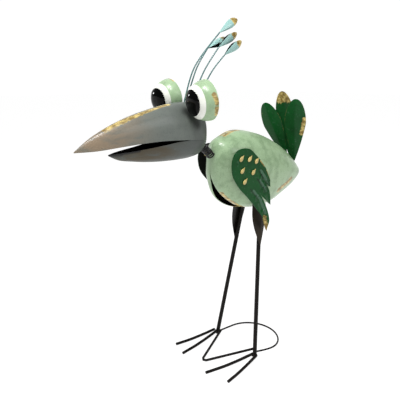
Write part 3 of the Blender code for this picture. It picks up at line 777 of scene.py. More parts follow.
@dataclass
class Body:
    """Two domed shells whose rims meet all round but at the lower front."""

    length: float = 0.2500
    height: float = 0.1580
    half_width: float = 0.0475
    pole: Place = (0.0080, 0.3850)
    edge: float = 0.0015
    parting: dict[Side, float] = by_side(0.0030, 0.0140)
    drop: dict[Side, float] = by_side(0.0, 0.0065)
    parting_start: float = math.radians(172)
    parting_reach: float = math.radians(112)
    parting_skew: float = 1.15
    parting_round: float = 1.6
    around: int = 144
    rings: int = 30
    # Rim seen from the left: shares of the length and of the height from the pole
    outline: tuple[Place, ...] = (
        (-0.340, 0.076), (-0.318, 0.330), (-0.232, 0.431), (-0.089, 0.486), (0.137, 0.408),
        (0.337, 0.266), (0.480, 0.116), (0.588, -0.042), (0.628, -0.160), (0.540, -0.285),
        (0.424, -0.376), (0.270, -0.473), (0.110, -0.503), (-0.052, -0.459), (-0.172, -0.354),
        (-0.263, -0.227), (-0.326, -0.060),
    )

    def parting_share(self, y: float, z: float) -> float:
        """Return how far the rims part at a place from the pole, as a share of the most.

        Args:
            y: How far back the place is.
            z: How high it is.

        Returns:
            The share, from 0 to 1.
        """
        angle = math.atan2(z, y) % (2 * math.pi)
        share = (angle - self.parting_start) / self.parting_reach
        if not 0 < share < 1:
            return 0.0
        return math.sin(math.pi * share ** self.parting_skew) ** self.parting_round

    def places(self, count: int) -> list[Place]:
        """Return places along the rim: how far back and up from the pole."""
        rows = smooth_rows(self.outline, count, closed=True)
        return [(along * self.length, up * self.height) for along, up in rows]

    def rim(self, side: Side) -> list[Point]:
        """Return one shell's rim: how far out, back and up from the pole.

        Args:
            side: The side of the bird.

        Returns:
            The rim's points.
        """
        points = []
        for y, z in self.places(self.around):
            share = self.parting_share(y, z)
            reach = 1 + self.drop[side] * share / math.hypot(y, z)
            points.append((FIT_GAP / 2 + self.parting[side] * share, y * reach, z * reach))
        return points

    def reaches(self) -> list[float]:
        """Return how far the rim is from the pole in each direction, degree by degree.

        Returns:
            The distances, one for each degree.
        """
        spokes = []
        for y, z in self.places(4 * self.around):
            spokes.append((math.degrees(math.atan2(z, y)) % 360, math.hypot(y, z)))
        reaches = []
        for angle in range(360):
            gaps = [(abs((way - angle + 180) % 360 - 180), reach) for way, reach in spokes]
            reaches.append(min(gaps)[1])
        return reaches

    def shell(self, side: Side) -> Mesh:
        """Return one shell's sheet.

        Args:
            side: The side of the bird.

        Returns:
            The shell's mesh.
        """
        back, height = self.pole
        rim = self.rim(side)
        rows = [[(side.value * out, back + y, height + z) for out, y, z in rim]]
        for ring in range(self.rings + 1):
            lift = ring / self.rings * math.pi / 2
            share = math.cos(lift)
            row = []
            for out, y, z in rim:
                start = out + self.edge
                across = start + (self.half_width - start) * math.sin(lift)
                row.append((side.value * across, back + y * share, height + z * share))
            rows.append(row)
        mesh = surface("shell", rows, (0.0, back, height), closed=True)
        return walled(mesh, MINT_BODY, INNER_BLACK)

    def build(self) -> None:
        """Add both shells."""
        for side in Side:
            mesh = carried(self.shell(side), STEP)
            publish(side.word + "_body_dome", mesh, [side.word + "_body_shell"])


@dataclass
class Head:
    """The upper shell of head and beak, and the lower beak below its seam."""

    back: float = -0.0905
    seam: float = 0.4510
    length: float = 0.2455
    height: float = 0.0655
    half_width: float = 0.0310
    fullness: float = 3.0
    rows: int = 91
    mouth_share: float = 11 / 18
    steps: int = 24
    # Ridge forward, ridge up, edge forward, edge out, edge up, from the tip to the back
    upper: tuple[tuple[float, ...], ...] = (
        (1.000, 0.030, 0.998, 0.020, 0.010), (0.890, 0.308, 0.866, 0.290, 0.015),
        (0.749, 0.556, 0.719, 0.548, 0.066), (0.602, 0.745, 0.572, 0.742, 0.110),
        (0.448, 0.884, 0.430, 0.903, 0.130), (0.299, 0.985, 0.287, 1.000, 0.111),
        (0.165, 0.990, 0.165, 0.984, 0.076), (0.059, 0.733, 0.067, 0.726, 0.038),
        (0.010, 0.397, 0.020, 0.355, 0.015), (0.000, 0.060, 0.000, 0.020, 0.000),
    )
    # The same for the lower beak, its keel first, as far as the corner of the mouth
    lower_front: tuple[tuple[float, ...], ...] = (
        (0.774, -0.150, 0.776, 0.020, -0.122), (0.703, -0.281, 0.711, 0.290, -0.101),
        (0.613, -0.347, 0.629, 0.468, -0.073), (0.511, -0.403, 0.540, 0.597, -0.041),
        (0.401, -0.438, 0.426, 0.774, 0.012), (0.295, -0.449, 0.308, 0.935, 0.073),
    )
    keel: tuple[Place, ...] = (
        (0.226, -0.444), (0.165, -0.430), (0.096, -0.382), (0.047, -0.267), (0.016, -0.160),
        (0.001, -0.038),
    )

    def point(self, forward: float, out: float, up: float) -> Point:
        """Return a point from its shares of length, width and height."""
        y = self.back - forward * self.length
        return (out * self.half_width, y, self.seam + up * self.height)

    def section(self, ridge: Point, edge: Point, fullness: float = 2.0) -> list[Point]:
        """Return a row of points from the left edge over the ridge to the right edge.

        Args:
            ridge: The ridge's point, on the middle plane.
            edge: The left edge's point.
            fullness: 2 for an ellipse, more for a fuller section.

        Returns:
            The row.
        """
        row = []
        for index in range(2 * self.steps + 1):
            turn = math.pi / 2 * (1 - index / self.steps)
            share = abs(math.cos(turn)) ** (2 / fullness)
            out = math.copysign(abs(math.sin(turn)) ** (2 / fullness), turn)
            y, z = (low + (high - low) * share for low, high in zip(edge[1:], ridge[1:]))
            row.append((edge[0] * out, y, z))
        return row

    def upper_rows(self) -> list[tuple[Point, Point]]:
        """Return the ridge and the left edge of each row of the upper shell.

        Returns:
            Pairs of points from the tip to the back.
        """
        rows = []
        for ahead, up, *edge_shares in smooth_rows(self.upper, self.rows):
            rows.append((self.point(ahead, 0.0, up), self.point(*edge_shares)))
        return rows

    def build(self) -> None:
        """Add the upper shell and the lower beak."""
        inside = self.point(0.4, 0.0, 0.0)
        edges = self.upper_rows()
        rows = []
        for index, (ridge, edge) in enumerate(edges):
            fullness = 2 + (self.fullness - 2) * index / (self.rows - 1)
            rows.append(self.section(ridge, edge, fullness))
        upper = carried(walled(surface("upper", rows, inside), BEAK_UPPER, INNER_BLACK), STEP)
        publish("beak_and_head", upper, ["upper_beak_head"])
        corner = round((self.rows - 1) * self.mouth_share)
        seam = [edge for _, edge in edges[corner:]]
        rows = []
        for ahead, up, *edge_shares in smooth_rows(self.lower_front, corner):
            rows.append(self.section(self.point(ahead, 0.0, up), self.point(*edge_shares)))
        for (ahead, up), (x, y, z) in zip(smooth_rows(self.keel, len(seam)), seam):
            rows.append(self.section(self.point(ahead, 0.0, up), (x, y, z - FIT_GAP)))
        lower = carried(walled(surface("lower", rows, inside), BEAK_LOWER, INNER_BLACK), STEP)
        publish("beak_below", lower, ["lower_beak"])


@dataclass
class Eyes:
    """Domes that face forward, each with a dished white ring and a domed pupil."""

    radius: float = 0.0340
    depth: float = 0.0320
    height: float = 0.5217
    back: float = -0.1265
    half_spread: float = 0.0508
    toe_in: dict[Side, float] = by_side(math.radians(7), math.radians(1))
    tilt: float = math.radians(7.9)
    white_radius: float = 0.0272
    white: float = 0.0010
    pupil_radius: float = 0.0200
    pupil: float = 0.0012
    around: int = 80

    def rings(self, first: float, lift: float, count: int) -> list[list[Point]]:
        """Return rings of the dome from a share of its turn to the pole, facing -Y at the origin.

        Args:
            first: The first ring's turn in radians, 0 at the dome's rim.
            lift: How far the rings stand off the dome.
            count: How many bands there are.

        Returns:
            The rings' points.
        """
        angles = [2 * math.pi * step / self.around for step in range(self.around)]
        rows = []
        for index in range(count + 1):
            turn = first + (math.pi / 2 - first) * index / count
            radius = (self.radius - self.white + lift) * math.cos(turn)
            ahead = (self.depth + lift) * math.sin(turn)
            row = [(radius * math.cos(angle), -ahead, radius * math.sin(angle)) for angle in angles]
            rows.append(row)
        return rows

    def disc(self, radius: float, lift: float, finish: Finish, wall: float) -> Mesh:
        """Return a round sheet that lies on the dome.

        Args:
            radius: The sheet's radius.
            lift: How far it stands off the dome.
            finish: Its finish.
            wall: Its thickness.

        Returns:
            The sheet, facing -Y at the origin.
        """
        rings = self.rings(math.acos(radius / self.radius), lift, 16)
        return walled(surface("disc", rings, CENTRE, True), finish, finish, wall, 1.0)

    def build(self) -> None:
        """Add both eyes."""
        pupil_lift = 2 * FIT_GAP + self.white
        for side in Side:
            dome = surface("dome", self.rings(0.0, 0.0, 28), CENTRE, True)
            dome = walled(dome, MINT_EYE, INNER_BLACK)
            white = self.disc(self.white_radius, FIT_GAP, CREAM, self.white)
            pupil = self.disc(self.pupil_radius, pupil_lift, PUPIL, self.pupil)
            toe_in = Matrix.Rotation(-side.value * self.toe_in[side], 4, "Z")
            tilt = Matrix.Rotation(self.tilt, 4, "X")
            place = Vector((side.value * self.half_spread, self.back, self.height))
            for mesh in (dome, white, pupil):
                mesh.transform(Matrix.Translation(STEP + place) @ (toe_in @ tilt))
            step = settled(dome, side.word + "_eye_dome", (1, 0, 0))
            for mesh, name, node, slot in (
                    (dome, "_eye_cup", "_eye_dome", "mint_paint"),
                    (white, "_eye_ring", "_eye_white", "eye_white"),
                    (pupil, "_eye_pupil", "_pupil", "pupil_black")):
                publish(side.word + name, carried(mesh, step), [side.word + node])


@dataclass
class Neck:
    """The close-coiled spring between the head and the chest."""

    diameter: float = 0.0152
    wire: float = 0.0026
    pitch: float = 0.0042
    top: Place = (-0.0960, 0.4385)
    bottom: Place = (-0.0700, 0.4130)
    # The lower end runs on over the left shell's front, a little off the middle
    overrun: float = 0.0055
    aside: float = 0.0030

    def build(self) -> None:
        """Add the spring between the ends of its node."""
        low, high = node_box("neck_spring")
        heading = Vector((0.0, *self.top)) - Vector((0.0, *self.bottom))
        heading.normalize()
        round_part = self.diameter * math.sqrt(1 - heading.z ** 2)
        length = (high.z - low.z - round_part) / heading.z
        shift = heading * (-self.overrun / 2) + Vector((self.aside, 0, 0))
        length += self.overrun
        values = {"Turns": length / self.pitch, "Radius": (self.diameter - self.wire) / 2,
                  "Wire": self.wire / 2, "Length": length, "Material": SPRING_BLACK.material()}
        mesh = coil_recipe().run(line_mesh([CENTRE, (0.0, 0.0, length)]), values)
        mesh.transform(heading.to_track_quat("Z", "X").to_matrix().to_4x4())
        mesh = carried(mesh, settled(mesh, "neck_spring") + shift)
        publish("neck_coil", mesh, ["neck_spring"])


def leaf_rows(root: Vector, tip: Vector, side_way: Vector, half_width: float,
              profile: Callable[[float], float], lift: Callable[[float, float], float],
              rows: int, columns: int) -> list[list[Point]]:
    """Return rows across a leaf from root to tip.

    Args:
        root: The leaf's root.
        tip: Its tip.
        side_way: The way across it.
        half_width: Half its greatest width.
        profile: Its half-width as a share of the greatest, by the share of its length.
        lift: How far a place stands off the leaf's plane, by its shares along and across.
        rows: How many bands it has along.
        columns: How many it has on each side of its middle.

    Returns:
        The rows of points.
    """
    along = (tip - root).normalized()
    across = (side_way - along * side_way.dot(along)).normalized()
    normal = across.cross(along)
    made = []
    for index in range(rows + 1):
        share = math.sin(math.pi / 2 * index / rows)
        wide = half_width * profile(share)
        row = []
        for step in range(-columns, columns + 1):
            part = math.sin(math.pi / 2 * step / columns)
            place = root.lerp(tip, share) + across * (wide * part) + normal * lift(share, part)
            row.append(tuple(place))
        made.append(row)
    return made


@dataclass
class Plume:
    """One crest wire with its spoon: places across, back and up."""

    root_back: float
    middle: Point
    end: Point
    tip: Point
    opening: Point


@dataclass
class Crest:
    """Four wires on the crown with a deep spoon at each end."""

    wire: float = 0.0025
    pitch: float = 0.0027
    spoon_half_width: float = 0.0060
    spoon_depth: float = 0.0130
    spoon_bow: float = 0.5
    spoon_wall: float = 0.0008
    # Width at the wire as a share of the widest, where the tip is cut, and the outline's exponents
    spoon_neck: float = 0.16
    spoon_cut: float = 0.985
    spoon_skew: float = 1.60
    spoon_round: float = 0.65
    bend_points: int = 20
    plumes: tuple[Plume, ...] = (
        Plume(-0.1275, (-0.0080, -0.1021, 0.5700), (-0.0120, -0.0735, 0.6051),
              (-0.0120, -0.0317, 0.6239), (0.76, 0.10, -0.64)),
        Plume(-0.1335, (-0.0022, -0.1092, 0.5752), (-0.0040, -0.0543, 0.6303),
              (-0.0040, -0.0137, 0.6541), (-0.66, -0.22, 0.72)),
        Plume(-0.1210, (0.0027, -0.0950, 0.5650), (0.0040, -0.0623, 0.6064),
              (0.0040, -0.0217, 0.6301), (-0.22, -0.53, 0.82)),
        Plume(-0.1150, (0.0085, -0.0842, 0.5627), (0.0130, -0.0568, 0.5936),
              (0.0130, -0.0185, 0.6163), (-0.22, -0.53, 0.82)),
    )

    def outline(self, share: float) -> float:
        """Return a spoon's half-width as a share of its widest."""
        swell = math.sin(math.pi * min(self.spoon_cut, share) ** self.spoon_skew)
        return self.spoon_neck + (1 - self.spoon_neck) * swell ** self.spoon_round

    def bowl(self, share: float, part: float) -> float:
        """Return how far a spoon's sheet stands off its plane."""
        across = self.spoon_bow - math.sqrt(1 - part * part)
        return self.spoon_depth * self.outline(share) * across

    def build(self) -> None:
        """Add the wires and their spoons."""
        recipe = rod_recipe()
        for index, plume in enumerate(self.plumes):
            number = str(index + 1)
            across = self.pitch * (index - (len(self.plumes) - 1) / 2)
            foot = node_box("crest_wire_" + number)[0].z - STEP.z
            root = Vector((across, plume.root_back, foot))
            stem = root + Vector((0, 0, self.wire))
            lead = stem.lerp(Vector(plume.middle), -0.4)
            bent = smooth_rows((lead, stem, plume.middle, plume.end), 3 * self.bend_points)
            line = line_mesh([root] + bent[self.bend_points:])
            values = {"Radius": self.wire / 2, "Sides": 14, "Material": WIRE_AQUA.material()}
            wire = carried(recipe.run(line, values), STEP)
            publish("crest_stem_" + number, wire, ["crest_wire_" + number])
            heading = (Vector(plume.tip) - Vector(plume.end)).normalized()
            start = Vector(plume.end) + heading * (FIT_GAP + self.wire * 0.3)
            lip = Vector(plume.opening)
            lip = (lip - heading * lip.dot(heading)).normalized()
            rows = leaf_rows(start, Vector(plume.tip), heading.cross(lip), self.spoon_half_width,
                             self.outline, self.bowl, 30, 14)
            inside = tuple(start.lerp(Vector(plume.tip), 0.5) + lip)
            spoon = walled(surface("spoon", rows, inside), SPOON_AQUA, INNER_BLACK, self.spoon_wall)
            spoon = carried(spoon, STEP)
            publish("crest_bowl_" + number, spoon, ["crest_spoon_" + number])


@dataclass
class Wings:
    """Cut plates beside the body, each with three creased feathers and six louvres."""

    stand: float = 0.0492
    curl: float = 0.0035
    shoulder: Place = (-0.0300, 0.4050)
    # Where the curl starts, how far it runs and its share of the whole: ahead, then below
    curl_ahead: Point = (-0.025, 0.040, 0.35)
    curl_below: Point = (0.335, 0.070, 0.5)
    turn: dict[Side, float] = by_side(0.0, math.radians(8))
    margin: float = 0.006
    grid: tuple[int, int] = (96, 150)
    outline: tuple[Place, ...] = (
        (-0.0618, 0.3837), (-0.0662, 0.4005), (-0.0646, 0.4180), (-0.0551, 0.4311),
        (-0.0400, 0.4348), (-0.0230, 0.4318), (-0.0075, 0.4200), (0.0095, 0.4040),
        (0.0225, 0.3880), (0.0310, 0.3700), (0.0362, 0.3535), (0.0275, 0.3575),
        (0.0180, 0.3686), (0.0275, 0.3520), (0.0350, 0.3350), (0.0393, 0.3165),
        (0.0270, 0.3250), (0.0083, 0.3427), (0.0190, 0.3255), (0.0290, 0.3060),
        (0.0345, 0.2890), (0.0328, 0.2640), (0.0262, 0.2735), (0.0150, 0.2965),
        (-0.0030, 0.3175), (-0.0266, 0.3426), (-0.0480, 0.3635),
    )
    # Outline points that stay sharp: the feathers' tips and the notches between them
    corners: tuple[int, ...] = (10, 12, 15, 17, 21)
    # Crease of each feather from its root to its tip, and how deep it is pressed at the tip
    creases: tuple[tuple[tuple[Place, ...], float], ...] = (
        (((-0.0048, 0.3970), (0.0132, 0.3730), (0.0361, 0.3545)), 0.0022),
        (((-0.0021, 0.3741), (0.0211, 0.3486), (0.0393, 0.3169)), 0.0030),
        (((-0.0211, 0.3588), (0.0022, 0.3354), (0.0203, 0.3023), (0.0326, 0.2643)), 0.0030),
    )
    crease_half_width: float = 0.0065
    # A crease's valley and the ridge beside it: shares of its depth, and the ridge's place
    valley_share: float = 0.7
    ridge_share: float = 0.6
    ridge_away: float = 1.3
    ridge_reach: float = 0.7
    # How soon a crease reaches its depth, over its length
    crease_rise: float = 1.3
    body: Body = field(default_factory=Body)
    rim_reach: list[float] = field(init=False)
    louvres: tuple[Place, ...] = (
        (-0.0452, 0.4163), (-0.0249, 0.4139), (-0.0069, 0.4080), (-0.0422, 0.3942),
        (-0.0146, 0.3883), (-0.0355, 0.3735),
    )
    louvre_length: float = 0.0052
    louvre_width: float = 0.0038
    louvre_height: float = 0.0016
    louvre_turn: float = math.radians(-42)
    slot_shift: float = 0.0036
    slot_length: float = 0.0045
    slot_width: float = 0.0014
    slot_points: int = 16

    def __post_init__(self) -> None:
        """Measure the body's rim once."""
        self.rim_reach = self.body.reaches()

    def clearance(self, y: float, z: float) -> float:
        """Return how far the plate can be pressed in at a place before it meets the body.

        Args:
            y: How far back the place is.
            z: How high it is.

        Returns:
            The clearance, never below 0.
        """
        back = y - self.body.pole[0]
        up = z - self.body.pole[1]
        rim = self.rim_reach[int(math.degrees(math.atan2(up, back)) % 360)]
        away = min(1.0, math.hypot(back, up) / rim)
        dome = self.body.half_width * math.sqrt(1 - away * away)
        return max(0.0, self.stand - SHEET - dome - 4 * FIT_GAP)

    def stand_off(self, y: float, z: float) -> float:
        """Return how far the plate stands from the middle plane at a place.

        Args:
            y: How far back the place is.
            z: How high it is.

        Returns:
            The distance along X.
        """
        curl = 0.0
        for place, (start, run, share) in ((y, self.curl_ahead), (z, self.curl_below)):
            curl += share * (max(0.0, start - place) / run) ** 2
        pressed = sum(depth * self.press(line, y, z) for line, depth in self.creases)
        return self.stand - self.curl * curl - min(pressed, self.clearance(y, z))

    def press(self, line: Sequence[Place], y: float, z: float) -> float:
        """Return how far a crease presses a place in, or raises it, as a share of its depth.

        Args:
            line: The crease's points.
            y: How far back the place is.
            z: How high it is.

        Returns:
            The share, below 0 where it is raised.
        """
        lengths = [math.dist(start, end) for start, end in zip(line, line[1:])]
        best = 0.0
        run = 0.0
        for start, end, length in zip(line, line[1:], lengths):
            dy, dz = end[0] - start[0], end[1] - start[1]
            share = ((y - start[0]) * dy + (z - start[1]) * dz) / length ** 2
            share = min(1.0, max(0.0, share))
            near = (start[0] + dy * share, start[1] + dz * share)
            away = math.dist((y, z), near) / self.crease_half_width
            along = min(1.0, (run + share * length) / sum(lengths) * self.crease_rise)
            valley = self.valley_share * max(0.0, 1 - away)
            ridge = self.ridge_share * max(0.0, 1 - abs(away - self.ridge_away) / self.ridge_reach)
            best = max((best, along * (valley - ridge)), key=abs)
            run += length
        return best

    def turned(self, place: Place, side: Side, undo: bool = False) -> Place:
        """Return a place after the plate's turn about its shoulder, or before it.

        Args:
            place: The place.
            side: The side of the bird.
            undo: Whether the turn is taken back.

        Returns:
            The place.
        """
        angle = -self.turn[side] if undo else self.turn[side]
        y = place[0] - self.shoulder[0]
        z = place[1] - self.shoulder[1]
        return (self.shoulder[0] + y * math.cos(angle) - z * math.sin(angle),
                self.shoulder[1] + y * math.sin(angle) + z * math.cos(angle))

    def smooth_outline(self) -> list[Place]:
        """Return the outline with a smooth curve between its sharp corners.

        Returns:
            The outline's places.
        """
        count = len(self.outline)
        stops = list(self.corners) + [self.corners[0] + count]
        points: list[Place] = []
        for first, last in zip(stops, stops[1:]):
            table = [self.outline[index % count] for index in range(first, last + 1)]
            points.extend(smooth_rows(table, 5 * (last - first) + 1)[:-1])
        return points

    def prism(self, points: Sequence[Place], side: Side) -> bpy.types.Object:
        """Return a prism across the wing's plane over an outline, to cut with.

        Args:
            points: The outline.
            side: The side of the bird.

        Returns:
            The prism's object.
        """
        made = bmesh.new()
        loops = []
        for x in (0.4 * self.stand, 1.6 * self.stand):
            places = [self.turned(point, side) for point in points]
            loops.append([made.verts.new((side.value * x, y, z)) for y, z in places])
        count = len(points)
        for index in range(count):
            after = (index + 1) % count
            made.faces.new((loops[0][index], loops[0][after], loops[1][after], loops[1][index]))
        made.faces.new(loops[0])
        made.faces.new(loops[1])
        bmesh.ops.recalc_face_normals(made, faces=made.faces)
        return linked("prism", mesh_from(made, "prism"))

    def slots(self) -> list[list[Place]]:
        """Return the outlines of the narrow pointed slots below the louvres.

        Returns:
            One outline for each louvre.
        """
        made = []
        rise = math.radians(90) + self.louvre_turn
        cos, sin = math.cos(rise), math.sin(rise)
        for y, z in self.louvres:
            points = []
            for index in range(self.slot_points):
                angle = 2 * math.pi * index / self.slot_points
                u = self.slot_length * math.cos(angle)
                v = self.slot_width * math.sin(angle) * abs(math.sin(angle)) ** 0.5
                v -= self.slot_shift
                points.append((y + u * cos - v * sin, z + u * sin + v * cos))
            made.append(points)
        return made

    def plate(self, side: Side) -> Mesh:
        """Return one wing's plate, cut to its outline and slotted.

        Args:
            side: The side of the bird.

        Returns:
            The plate's mesh.
        """
        outline = self.smooth_outline()
        spans = []
        for values in zip(*(self.turned(point, side) for point in outline)):
            spans.append((min(values) - self.margin, max(values) - min(values) + 2 * self.margin))
        (first_y, run_y), (first_z, run_z) = spans
        rows = []
        for index in range(self.grid[1] + 1):
            z = first_z + run_z * index / self.grid[1]
            row = []
            for step in range(self.grid[0] + 1):
                y = first_y + run_y * step / self.grid[0]
                stand = self.stand_off(*self.turned((y, z), side, undo=True))
                row.append((side.value * stand, y, z))
            rows.append(row)
        mesh = walled(surface("plate", rows, (0.0, *self.body.pole)), WING_GREEN, INNER_BLACK)
        cutters = [self.prism(points, side) for points in [outline] + self.slots()]
        blank = linked("blank", mesh)
        for number, cutter in enumerate(cutters):
            cut = blank.modifiers.new("cut", "BOOLEAN")
            cut.operation = "DIFFERENCE" if number else "INTERSECT"
            cut.object = cutter
        made = baked(blank)
        for cutter in cutters:
            bpy.data.objects.remove(cutter, do_unlink=True)
        return made

    def build(self) -> None:
        """Add both plates and their louvre hoods."""
        recipe = louvre_recipe()
        for side in Side:
            name = side.word + "_wing"
            mesh = carried(self.plate(side), STEP)
            low, high = node_box(name)
            outer = high.x if side is Side.LEFT else low.x
            step = Vector((outer - side.value * self.stand, 0, 0))
            publish(name + "_plate", carried(mesh, step), [name], 30.0)
            points = []
            for place in self.louvres:
                y, z = self.turned(place, side)
                sunk = side.value * (self.stand - self.stand_off(*place))
                points.append((outer - sunk, y + STEP.y, z + STEP.z))
            cloud = bpy.data.meshes.new("louvres")
            cloud.from_pydata(points, [], [])
            values = {"Length": self.louvre_length, "Width": self.louvre_width,
                      "Height": self.louvre_height, "Turn": self.louvre_turn + self.turn[side],
                      "Material": LOUVRE_GOLD.material()}
            publish(name + "_louvres", recipe.run(cloud, values), [])


@dataclass
class Tail:
    """Three oval feathers on the seam of the body."""

    aim: Point = (0.0, 0.1490, 0.3790)
    aim_half_spread: float = 0.0075
    layer: float = 0.0035
    half_width: float = 0.0212
    fold: float = 0.0050
    fold_round: float = 1.3
    # Half-width by the share of the length: at the root, its rise and its fall
    root_width: float = 0.08
    rise: float = 1.9
    fall: float = 0.72
    # Where the round tip starts, its length, and the least half-width
    tip_start: float = 0.62
    tip_length: float = 0.381
    least_width: float = 0.06
    # Side of the middle, tip, turn in degrees, share of the fold
    feathers: dict[str, tuple[int, Point, float, float]] = field(default_factory=lambda: {
        "middle": (0, (-0.0015, 0.1080, 0.5285), 14, -0.5),
        "left": (1, (0.0409, 0.1044, 0.5153), 30, 1.0),
        "right": (-1, (-0.0409, 0.1043, 0.5043), 20, 1.0),
    })

    def outline(self, share: float) -> float:
        """Return a feather's half-width as a share of its widest.

        Args:
            share: The share of its length.

        Returns:
            The share of its widest.
        """
        past = max(0.0, share - self.tip_start) / self.tip_length
        width = min(1.0, self.root_width + self.rise * share - self.fall * share * share)
        return max(self.least_width, width * math.sqrt(max(0.0, 1 - past ** 2)))

    def folded(self, depth: float) -> Callable[[float, float], float]:
        """Return the rule for how far a feather stands off its plane, by its shares."""
        return lambda share, part: depth * self.outline(share) * (1 - abs(part) ** self.fold_round)

    def build(self) -> None:
        """Add the three feathers."""
        finishes = {"middle": TAIL_MIDDLE, "left": TAIL_LEFT, "right": TAIL_RIGHT}
        for place, (sign, tip_place, degrees, fold_share) in self.feathers.items():
            node = "tail_feather_" + place
            behind = Vector((0, 0 if sign else self.layer, 0))
            aim = Vector(self.aim) + Vector((sign * self.aim_half_spread, 0, 0)) + behind
            tip = Vector(tip_place) + behind
            low = node_box(node)[0].z - STEP.z
            root = tip.lerp(aim, (tip.z - low) / (tip.z - aim.z))
            turn = math.radians(degrees)
            across = Vector((math.cos(turn), math.sin(turn), 0))
            rows = leaf_rows(root, tip, across, self.half_width, self.outline,
                             self.folded(fold_share * self.fold), 56, 18)
            mesh = surface("feather", rows, tuple(tip + Vector((0, 0.2, 0))))
            mesh = walled(mesh, finishes[place], INNER_BLACK)
            publish("tail_leaf_" + place, carried(mesh, STEP), [node])


@dataclass
class Legs:
    """Leg rods with a folded leaf round the top of each."""

    diameter: float = 0.0084
    ankle: Place = (0.0581, -0.0039)
    foot: float = 0.0037
    lean_in: float = 0.1133
    lean_back: float = 0.1200
    thigh_tip: float = 0.2260
    thigh_length: float = 0.0850
    # A leaf's parts behind and before its crease: widths and numbers of bands
    thigh_widths: Place = (0.0240, 0.0115)
    thigh_columns: tuple[int, int] = (18, 12)
    thigh_rows: int = 48
    thigh_fold: float = math.radians(84)
    # Where a leaf is widest, its width at the point, and its outline's exponent
    thigh_widest: float = 0.85
    thigh_point: float = 0.03
    thigh_round: float = 1.1
    # How far a rod ends below its node's top, by its radius and lean
    top_share: float = 1.35

    def line(self, side: Side, height: float) -> Vector:
        """Return the point of a leg's centre line at a height.

        Args:
            side: The side of the bird.
            height: The height.

        Returns:
            The point.
        """
        out, back = self.ankle
        x = side.value * (out - self.lean_in * height)
        return Vector((x, back + self.lean_back * height, height))

    def thigh_outline(self, share: float) -> float:
        """Return a thigh leaf's width as a share of its widest, from its point up."""
        reach = min(1.0, share / self.thigh_widest + self.thigh_point)
        return math.sin(math.pi / 2 * reach) ** self.thigh_round

    def thigh(self, side: Side) -> Mesh:
        """Return the folded leaf of one leg.

        Args:
            side: The side of the bird.

        Returns:
            The leaf's mesh.
        """
        heading = (self.line(side, 1.0) - self.line(side, 0.0)).normalized()
        outward = Vector((side.value, 0, 0))
        outward = (outward - heading * outward.dot(heading)).normalized()
        backward = heading.cross(outward) * side.value
        crease = (self.diameter / 2 + FIT_GAP) / math.sin(self.thigh_fold)
        bottom = self.line(side, self.thigh_tip)
        behind, before = self.thigh_columns
        rows = []
        for index in range(self.thigh_rows + 1):
            share = index / self.thigh_rows
            centre = bottom + heading * (self.thigh_length * share) + outward * crease
            row = []
            for step in range(-behind, before + 1):
                part = step / (behind if step < 0 else before)
                reach = abs(part) * self.thigh_widths[step >= 0] * self.thigh_outline(share)
                way = backward * math.copysign(math.sin(self.thigh_fold), part)
                way -= outward * math.cos(self.thigh_fold)
                row.append(tuple(centre + way * reach))
            rows.append(row)
        mesh = surface("thigh", rows, tuple(bottom - outward * 0.1))
        return walled(mesh, THIGHS[side], INNER_BLACK, SHEET, 1.0)

    def build(self) -> None:
        """Add both legs and thighs."""
        recipe = rod_recipe()
        for side in Side:
            top = node_box(side.word + "_leg")[1].z - STEP.z
            top -= self.diameter / 2 * self.lean_back * self.top_share
            line = line_mesh([self.line(side, self.foot), self.line(side, top)])
            values = {"Radius": self.diameter / 2, "Sides": 32, "Material": ROD_BLACK.material()}
            rod = recipe.run(line, values)
            publish(side.word + "_leg_rod", carried(rod, STEP), [side.word + "_leg"])
            thigh = carried(self.thigh(side), STEP)
            thigh = carried(thigh, settled(thigh, side.word + "_thigh"))
            publish(side.word + "_thigh_leaf", thigh, [side.word + "_thigh"])


